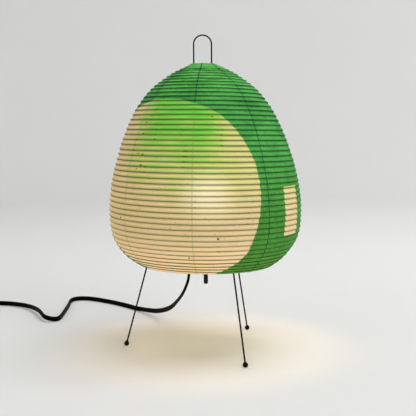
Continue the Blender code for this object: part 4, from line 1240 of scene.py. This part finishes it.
def make_relief():
    """The oval tapered relief that the cord leaves the hub through, and the two leads above it."""
    low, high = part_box("cord_grommet")
    x, y, _ = CORD_EXIT
    hub_low, hub_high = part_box("leg_hub")
    stations = []
    grooves = 5
    for k in range(grooves * 4 + 1):
        t = k / (grooves * 4)
        depth = 0.0005 * ease(wave(grooves * t), 0.35, 0.9)
        height = low.z + (hub_low.z - 0.0015 - low.z) * t
        stations.append((height, 0.0024 + 0.0012 * t - depth, 0.0041 - depth, 2.2))
    stations += [
        (hub_low.z - 0.0012, 0.0048, 0.0050, 2.0), (hub_low.z - 0.0001, 0.0048, 0.0050, 2.0),
        (hub_low.z + 0.0002, 0.0040, 0.0040, 2.0), (hub_high.z, 0.0040, 0.0040, 2.0),
        (hub_high.z + 0.0002, 0.0052, 0.0052, 2.0), (high.z, 0.0050, 0.0050, 2.0),
    ]
    rings = lofted(stations, lambda height, u, v: Vector((x + u, y + v, height)))
    ring_piece("cord_bend_relief", rings, "plastic", "stand", "cord_grommet", sharp=50)
    for number, shift in ((1, -0.0013), (2, 0.0013)):
        start = Vector((x + shift, y + shift, high.z - 0.001))
        inward = Vector((-start.x, -start.y, 0.0)).normalized()
        end = -inward * 0.0168 + Vector((0, 0, 0.1385))
        path = bent([start, (start.x, start.y, 0.1345), end], 0.0018)
        wire_piece(f"lamp_lead_{number}", path, 0.0008, "cord", "stand", f"lead_wire_{number}")


# Studio
def studio_paper():
    g = Graph("studio_paper")
    return g.plain(
        Base_Color=g.mix(g.noise(0.8, 2.0), rgb(224, 224, 223), rgb(228, 228, 227)),
        Roughness=0.9,
        Specular_IOR_Level=0.2,
        Normal=g.bump(g.noise(0.004, 3.0), 0.0001, 0.15),
    )


def make_studio():
    """A pale round sweep, so that every side of the lamp is seen against it."""
    bend = WALL_RADIUS - FLOOR_RADIUS
    outline = [(0.0, 0.0), (0.4, 0.0), (FLOOR_RADIUS * 0.6, 0.0)]
    for k in range(17):
        a = math.pi / 2 * k / 16
        outline.append((FLOOR_RADIUS + bend * math.sin(a), bend * (1 - math.cos(a))))
    outline.append((WALL_RADIUS, WALL_HEIGHT))
    bm = bmesh.new()
    add_rings(bm, [circle(r, z, 96) for r, z in outline[1:]], caps=False)
    middle = [v for v in bm.verts if v.co.xy.length < 0.41]
    middle.sort(key=lambda v: math.atan2(v.co.y, v.co.x))
    bm.faces.new(middle)
    bmesh.ops.recalc_face_normals(bm, faces=bm.faces)
    if sum(f.normal.z * f.calc_area() for f in bm.faces) < 0:
        bmesh.ops.reverse_faces(bm, faces=bm.faces)
    mesh = bpy.data.meshes.new("studio_sweep")
    bm.to_mesh(mesh)
    bm.free()
    mesh.shade_smooth()
    mesh.materials.append(studio_paper())
    sweep = bpy.data.objects.new("studio_sweep", mesh)
    bpy.context.scene.collection.objects.link(sweep)


def area_light(name, at, target, size, power, colour=(1.0, 1.0, 1.0)):
    data = bpy.data.lights.new(name, "AREA")
    data.shape = "DISK"
    data.size = size
    data.energy = power
    data.color = colour
    light = bpy.data.objects.new(name, data)
    bpy.context.scene.collection.objects.link(light)
    light.location = at
    light.rotation_euler = (Vector(target) - Vector(at)).to_track_quat("-Z", "Y").to_euler()


def make_lights():
    world = bpy.data.worlds.new("studio_air")
    world.use_nodes = True
    air = world.node_tree.nodes["Background"]
    air.inputs["Color"].default_value = (0.985, 0.99, 1.0, 1.0)
    air.inputs["Strength"].default_value = 0.462
    bpy.context.scene.world = world
    area_light("overhead", (0.75, -0.2, 3.0), (0.0, 0.0, 0.0), 2.2, 41.0)
    area_light("left_soft", (-2.2, -1.9, 1.9), (0.0, 0.0, 0.2), 1.8, 5.5)
    area_light("right_soft", (2.0, -2.2, 1.7), (0.0, 0.0, 0.2), 1.8, 24.0)
    area_light("backdrop", (1.4, 0.4, 2.4), (1.3, 3.4, 1.0), 1.6, 21.0)
    area_light("bulb_below", (-0.01, 0.02, 0.114), (-0.01, 0.02, 0.0), 0.17, 0.058, (1.0, 0.60, 0.15))
    bpy.context.scene.view_settings.view_transform = "Standard"


def main():
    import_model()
    make_camera()
    make_looks()
    make_cord(make_plug())
    make_relief()
    make_shade()
    make_legs()
    make_hub()
    make_nipple()
    make_stretcher()
    make_switch()
    make_socket()
    make_bulb()
    make_studio()
    make_lights()


main()
